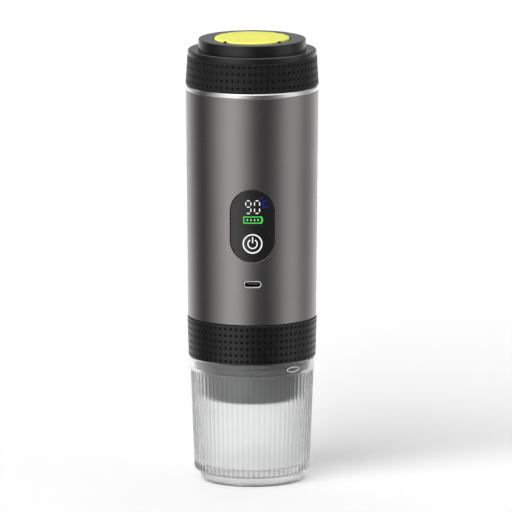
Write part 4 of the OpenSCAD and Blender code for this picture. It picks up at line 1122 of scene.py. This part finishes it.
FEMALE_R = 30.2
SHOULDER_FILLET = 0.9
WEB_T = 2.6
WEB_Z = WEB_TOP - WEB_T
WEB_BORE_R = 8.4
THREAD_STARTS = 4
THREAD_SPAN = radians(70)
THREAD_LEAD = 16
THREAD_DEPTH = 1.15
THREAD_STEPS = 24
THREAD_RUN_IN = 1 / 8
THREAD_END = 0.1
THREAD_UP = 2.2
THREAD_SECTION = (
    (0.4, -0.8), (0.0, -0.75), (-THREAD_DEPTH, -0.45), (-THREAD_DEPTH, 0.45), (0.0, 0.75), (0.4, 0.8),
)


def thread_ridge(start):
    """Loops of one ridge from its start azimuth; it is low at both ends."""
    loops = []
    for t in evenly(0, 1, THREAD_STEPS):
        a = THREAD_SPAN * t
        height = lerp(THREAD_END, 1.0, min(1.0, t / THREAD_RUN_IN, (1 - t) / THREAD_RUN_IN))
        z = LID_Z + THREAD_UP + THREAD_LEAD * a / (2 * pi)
        section = [(FEMALE_R + (out * height if out < 0 else out), z + up) for out, up in THREAD_SECTION]
        loops.append([polar(r, start + a, level) for r, level in section])
    return loops


def build_lid_shell():
    shell = lathe(rounded([
        (FEMALE_R, LID_Z, FINE_FILLET), (LID_SKIRT_R, LID_Z, FINE_FILLET), (LID_SKIRT_R, SHOULDER_Z, 0),
        (SHOULDER_R, SHOULDER_Z, SMALL_FILLET), (SHOULDER_R, WEB_TOP, SHOULDER_FILLET),
        (WEB_BORE_R, WEB_TOP, FINE_FILLET), (WEB_BORE_R, WEB_Z, FINE_FILLET),
        (FEMALE_R, WEB_Z, BROAD_FILLET),
    ]))
    for start in full_turn(THREAD_STARTS):
        shell.solid(thread_ridge(pi / 2 + start))
    add_piece("lid_shoulder", shell, "lid", "plastic_black", ["lid_shell"])


# Lid disc: ring round the vent button, with lugs that stand in the button's notches

VENT_FLANGE_W = 1.1
VENT_R = VENT_FLANGE_R - VENT_FLANGE_W
VENT_GAP = 0.55
VENT_BORE_R = VENT_R + VENT_GAP
VENT_WELL_W = 1.5
VENT_WELL_R = VENT_R + VENT_WELL_W
VENT_LIP = 2.0
LIP_Z = DISC_TOP - VENT_LIP
DISC_DRAFT = 0.4
LUG_W = 1.4
LUG_REACH = 1.15
LUG_ROOT = 0.3
LUG_RISE = 0.45
LUG_BEVEL = 0.2
LUG_TOP_SHARE = 0.85
NOTCHES = 4


def build_lid_disc():
    shell = lathe(rounded([
        (VENT_WELL_R, WEB_TOP, 0), (DISC_R, WEB_TOP, 0), (DISC_R - DISC_DRAFT, DISC_TOP, WIDE_FILLET),
        (VENT_BORE_R, DISC_TOP, MIDDLE_FILLET), (VENT_BORE_R, LIP_Z, THIN_FILLET),
        (VENT_WELL_R, LIP_Z, 0),
    ]))
    inner, outer = VENT_BORE_R - LUG_REACH, VENT_BORE_R + LUG_ROOT
    top = DISC_TOP + LUG_RISE
    levels = [(LIP_Z, 1.0, inner), (top - LUG_BEVEL, 1.0, inner), (top, LUG_TOP_SHARE, inner + LUG_BEVEL)]
    for turn in full_turn(NOTCHES):
        middle = turn + pi / NOTCHES
        loops = []
        for z, share, reach in levels:
            half = LUG_W * share / 2
            corners = [(reach, -half), (reach, half), (outer, half), (outer, -half)]
            loops.append([polar(r, middle + side / r, z) for r, side in corners])
        shell.solid(loops)
    add_piece("lid_top", shell, "lid", "plastic_black", ["lid_disc"])


# Vent button: crowned cap with four notches, a flange under the lip and a boss for the stem

VENT_EDGE = 0.9
VENT_EDGE_STEPS = 6
VENT_CROWN = 0.15
VENT_CROWN_SHARES = (0.3, 0.6, 0.85, 1.0)
VENT_COLUMNS = 720
VENT_FLANGE_GAP = 0.2
VENT_FLANGE_TOP = LIP_Z - VENT_FLANGE_GAP
VENT_FLANGE_T = 1.1
VENT_FLANGE_Z = VENT_FLANGE_TOP - VENT_FLANGE_T
VENT_UNDER_R = 17.5
VENT_SKIN = 2.0
NOTCH_W = 1.8
NOTCH_DEPTH = 1.0
NOTCH_EDGE = 0.25
STEM_R = 2.45
STEM_BOSS_R = 3.6
STEM_BOSS_UP = 1.5
STEM_BOSS_Z = CLIP_TOP + STEM_BOSS_UP


def build_vent_button():
    angles = full_turn(VENT_COLUMNS)
    sector = 2 * pi / NOTCHES

    def rim(a):
        """Plan radius at an azimuth, drawn in at the notches."""
        away_from = abs((a % sector) - sector / 2) * VENT_R
        return VENT_R - NOTCH_DEPTH * max(0.0, min(1.0, (NOTCH_W / 2 - away_from) / NOTCH_EDGE + 0.5))

    rims = [rim(a) for a in angles]

    def plain(r, z):
        return [polar(r, a, z) for a in angles]

    def notched(inset, z, share=1.0):
        return [polar((r - inset) * share, a, z) for r, a in zip(rims, angles)]

    loops = [plain(0, VENT_TOP)]
    for share in VENT_CROWN_SHARES:
        loops.append(notched(VENT_EDGE, VENT_TOP - VENT_CROWN * share * share, share))
    for inset, down in edge_arc(VENT_EDGE, VENT_EDGE_STEPS)[1:]:
        loops.append(notched(inset, VENT_TOP - VENT_CROWN - down))
    loops.append(notched(0, VENT_FLANGE_TOP))
    under = VENT_TOP - VENT_SKIN
    tail = [
        (VENT_FLANGE_R, VENT_FLANGE_TOP), (VENT_FLANGE_R, VENT_FLANGE_Z),
        (VENT_UNDER_R, VENT_FLANGE_Z), (VENT_UNDER_R, under), (STEM_BOSS_R, under),
        (STEM_BOSS_R, STEM_BOSS_Z), (STEM_R, STEM_BOSS_Z), (STEM_R, under), (0, under),
    ]
    loops += [plain(r, z) for r, z in tail]
    shell = Shell()
    shell.bridge(loops)
    add_piece("vent_cap", shell, "vent", "button_yellow", ["vent_button"])


# Vent spring: soft dome under the button

SPRING_SHEET = 0.6
SPRING_TOP_R = 5.0
SPRING_FILLET = 0.1


def build_vent_spring():
    low_r, low, high = span("vent_spring")
    outline = rounded([
        (low_r - SPRING_SHEET, low, 0), (low_r, low, SPRING_FILLET),
        (SPRING_TOP_R + SPRING_SHEET, high, SPRING_FILLET), (SPRING_TOP_R, high, 0),
    ])
    piece = add_piece("vent_dome", lathe(outline), "lid_stopper", "silicone_clear", ["vent_spring"])
    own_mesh(piece)


build_cup()
build_chamber()
build_oval()
dimpled_sleeve("collar_sleeve", "collar", "collar_grip", COLLAR_Z, COLLAR_TOP, COLLAR_LOW_R, COLLAR_R,
               CORE_R, COLLAR_ROWS, COLLAR_PHASE, COLLAR_SHADED_SILICONE)
build_body()
build_lens()
build_light_ring()
build_power_button()
build_digits()
build_unit_mark()
build_battery_mark()
build_power_mark()
build_socket_shell()
build_socket_tongue()
build_trim()
dimpled_sleeve("lid_sleeve", "lid", "lid_grip", LID_Z, SHOULDER_Z, LID_GRIP_R, LID_GRIP_TOP_R, LID_SKIRT_R,
               LID_ROWS, LID_PHASE, FINISHES["silicone_black"])
build_lid_shell()
build_lid_disc()
build_vent_button()
build_vent_spring()


# Studio: white floor, a ring of soft light with dark gaps, and one large lamp from the front left; the ring
# is (azimuth in degrees, brightness), other pairs are where a change along an axis of the sky starts and
# ends, and distances here and at the camera are in metres

FLOOR_HALF = 4.0
FLOOR_WHITE = (0.93, 0.93, 0.93, 1)
FLOOR_LIFT = 0.01
STUDIO_RING = (
    (-180, 1.15), (-150, 1.15), (-128, 0.45), (-106, 0.05), (-86, 0.1), (-64, 0.52), (-42, 1.12), (-26, 1.05),
    (-9, 0.4), (8, 0.08), (32, 0.08), (50, 0.33), (66, 0.78), (84, 0.78), (100, 0.36), (116, 0.34),
    (136, 0.75), (152, 1.15), (180, 1.15),
)
OVERHEAD = 0.5
OVERHEAD_GLOSS = 1.8
OVERHEAD_UP = (0.5, 0.85)
FLAG = 0.4
FLAG_LOW = (-0.04, 0.12)
FLAG_HIGH = (0.7, 0.45)
FLAG_BEHIND = (0.2, 0.6)
SHEET_GREY = 0.5
SHEET_BEHIND = (0.55, 0.96)
KEY_AZIMUTH = radians(-35)
KEY_ELEVATION = radians(27)
KEY_DISTANCE = 2.0
KEY_STRENGTH = 3.7
KEY_SPREAD = radians(54)


def seen_directly(tree, amount):
    """Amount for the camera and for what is seen through the cup, and 0 for other light."""
    path = tree.nodes.new("ShaderNodeLightPath")
    either = math_node("MAXIMUM", path.outputs["Is Camera Ray"], path.outputs["Is Transmission Ray"])
    return math_node("MULTIPLY", either, amount)


def build_floor():
    mesh = bpy.data.meshes.new("floor")
    corners = [(-1, -1), (1, -1), (1, 1), (-1, 1)]
    mesh.from_pydata([(FLOOR_HALF * x, FLOOR_HALF * y, 0) for x, y in corners], [], [(0, 1, 2, 3)])
    material, tree, shader = new_material("floor_white")
    set_inputs(shader, {
        "Base Color": FLOOR_WHITE, "Roughness": 1.0, "Specular IOR Level": 0.0,
        "Emission Color": (1, 1, 1, 1), "Emission Strength": seen_directly(tree, FLOOR_LIFT),
    })
    mesh.materials.append(material)
    floor = add_object("floor", mesh)
    floor.visible_glossy = False


def build_world():
    world = bpy.data.worlds.new("studio")
    world.use_nodes = True
    bpy.context.scene.world = world
    tree = world.node_tree
    place = tree.nodes.new("ShaderNodeTexCoord")
    axes = add_node(tree, "ShaderNodeSeparateXYZ", {0: place.outputs["Generated"]})
    back, up = axes.outputs["Y"], axes.outputs["Z"]

    azimuth = math_node("ARCTAN2", axes.outputs["X"], math_node("MULTIPLY", back, -1.0))
    turn = math_node("ADD", math_node("DIVIDE", azimuth, 2 * pi), 0.5)
    ring = add_node(tree, "ShaderNodeValToRGB", {"Fac": turn})
    ring.color_ramp.interpolation = "B_SPLINE"
    stops = ring.color_ramp.elements
    while len(stops) < len(STUDIO_RING):
        stops.new(0.5)
    for stop, (angle, level) in zip(stops, STUDIO_RING):
        stop.position = angle / 360 + 0.5
        stop.color = (level, level, level, 1)

    def mixed(factor, first, second):
        """Colour that goes from first to second with the factor; both are sockets or grey levels."""
        node = tree.nodes.new("ShaderNodeMix")
        node.data_type = "RGBA"
        a, b = ((v, v, v, 1) if isinstance(v, float) else v for v in (first, second))
        set_inputs(node, {"Factor": factor, "A": a, "B": b})
        return node.outputs["Result"]

    glossy = tree.nodes.new("ShaderNodeLightPath").outputs["Is Glossy Ray"]
    overhead = mixed(glossy, OVERHEAD, OVERHEAD_GLOSS)
    sky = mixed(step_up(up, *OVERHEAD_UP), ring.outputs["Color"], overhead)
    flag = math_node("MULTIPLY", glossy, step_up(back, *FLAG_BEHIND))
    for levels in (FLAG_LOW, FLAG_HIGH):
        flag = math_node("MULTIPLY", flag, step_up(up, *levels))
    studio = mixed(flag, sky, FLAG)
    sheet = step_up(back, *SHEET_BEHIND, SHEET_GREY, 1.0)
    seen = mixed(seen_directly(tree, 1.0), studio, sheet)
    set_inputs(tree.nodes["Background"], {"Color": seen})


def aim(thing, target):
    """Turns a lamp or camera so that its -Z looks at the target, with its X level."""
    thing.rotation_euler = (Vector(target) - thing.location).to_track_quat("-Z", "Y").to_euler()


def away(azimuth, elevation, distance):
    """Offset at an azimuth and elevation in radians."""
    flat = distance * cos(elevation)
    return Vector((flat * sin(azimuth), -flat * cos(azimuth), distance * sin(elevation)))


def build_key_lamp():
    lamp = bpy.data.lights.new("key_lamp", "SUN")
    lamp.energy = KEY_STRENGTH
    lamp.angle = KEY_SPREAD
    holder = add_object("key_lamp", lamp)
    holder.visible_glossy = False
    holder.location = away(KEY_AZIMUTH, KEY_ELEVATION, KEY_DISTANCE)
    aim(holder, (0, 0, 0))


# Camera: long lens, ten degrees above the object and almost straight in front of it

CAMERA_LENS = 744.6
CAMERA_SENSOR = 36
CAMERA_DISTANCE = 5.6
CAMERA_AZIMUTH = radians(-0.4)
CAMERA_ELEVATION = radians(9.9)
CAMERA_TARGET = Vector((0.00204, 0, 0.11936))


def build_camera():
    camera = bpy.data.cameras.new("camera")
    camera.lens = CAMERA_LENS
    camera.sensor_width = CAMERA_SENSOR
    holder = add_object("camera", camera)
    holder.location = CAMERA_TARGET + away(CAMERA_AZIMUTH, CAMERA_ELEVATION, CAMERA_DISTANCE)
    aim(holder, CAMERA_TARGET)
    bpy.context.scene.camera = holder


build_floor()
build_world()
build_key_lamp()
build_camera()
bpy.context.scene.view_settings.view_transform = "Standard"
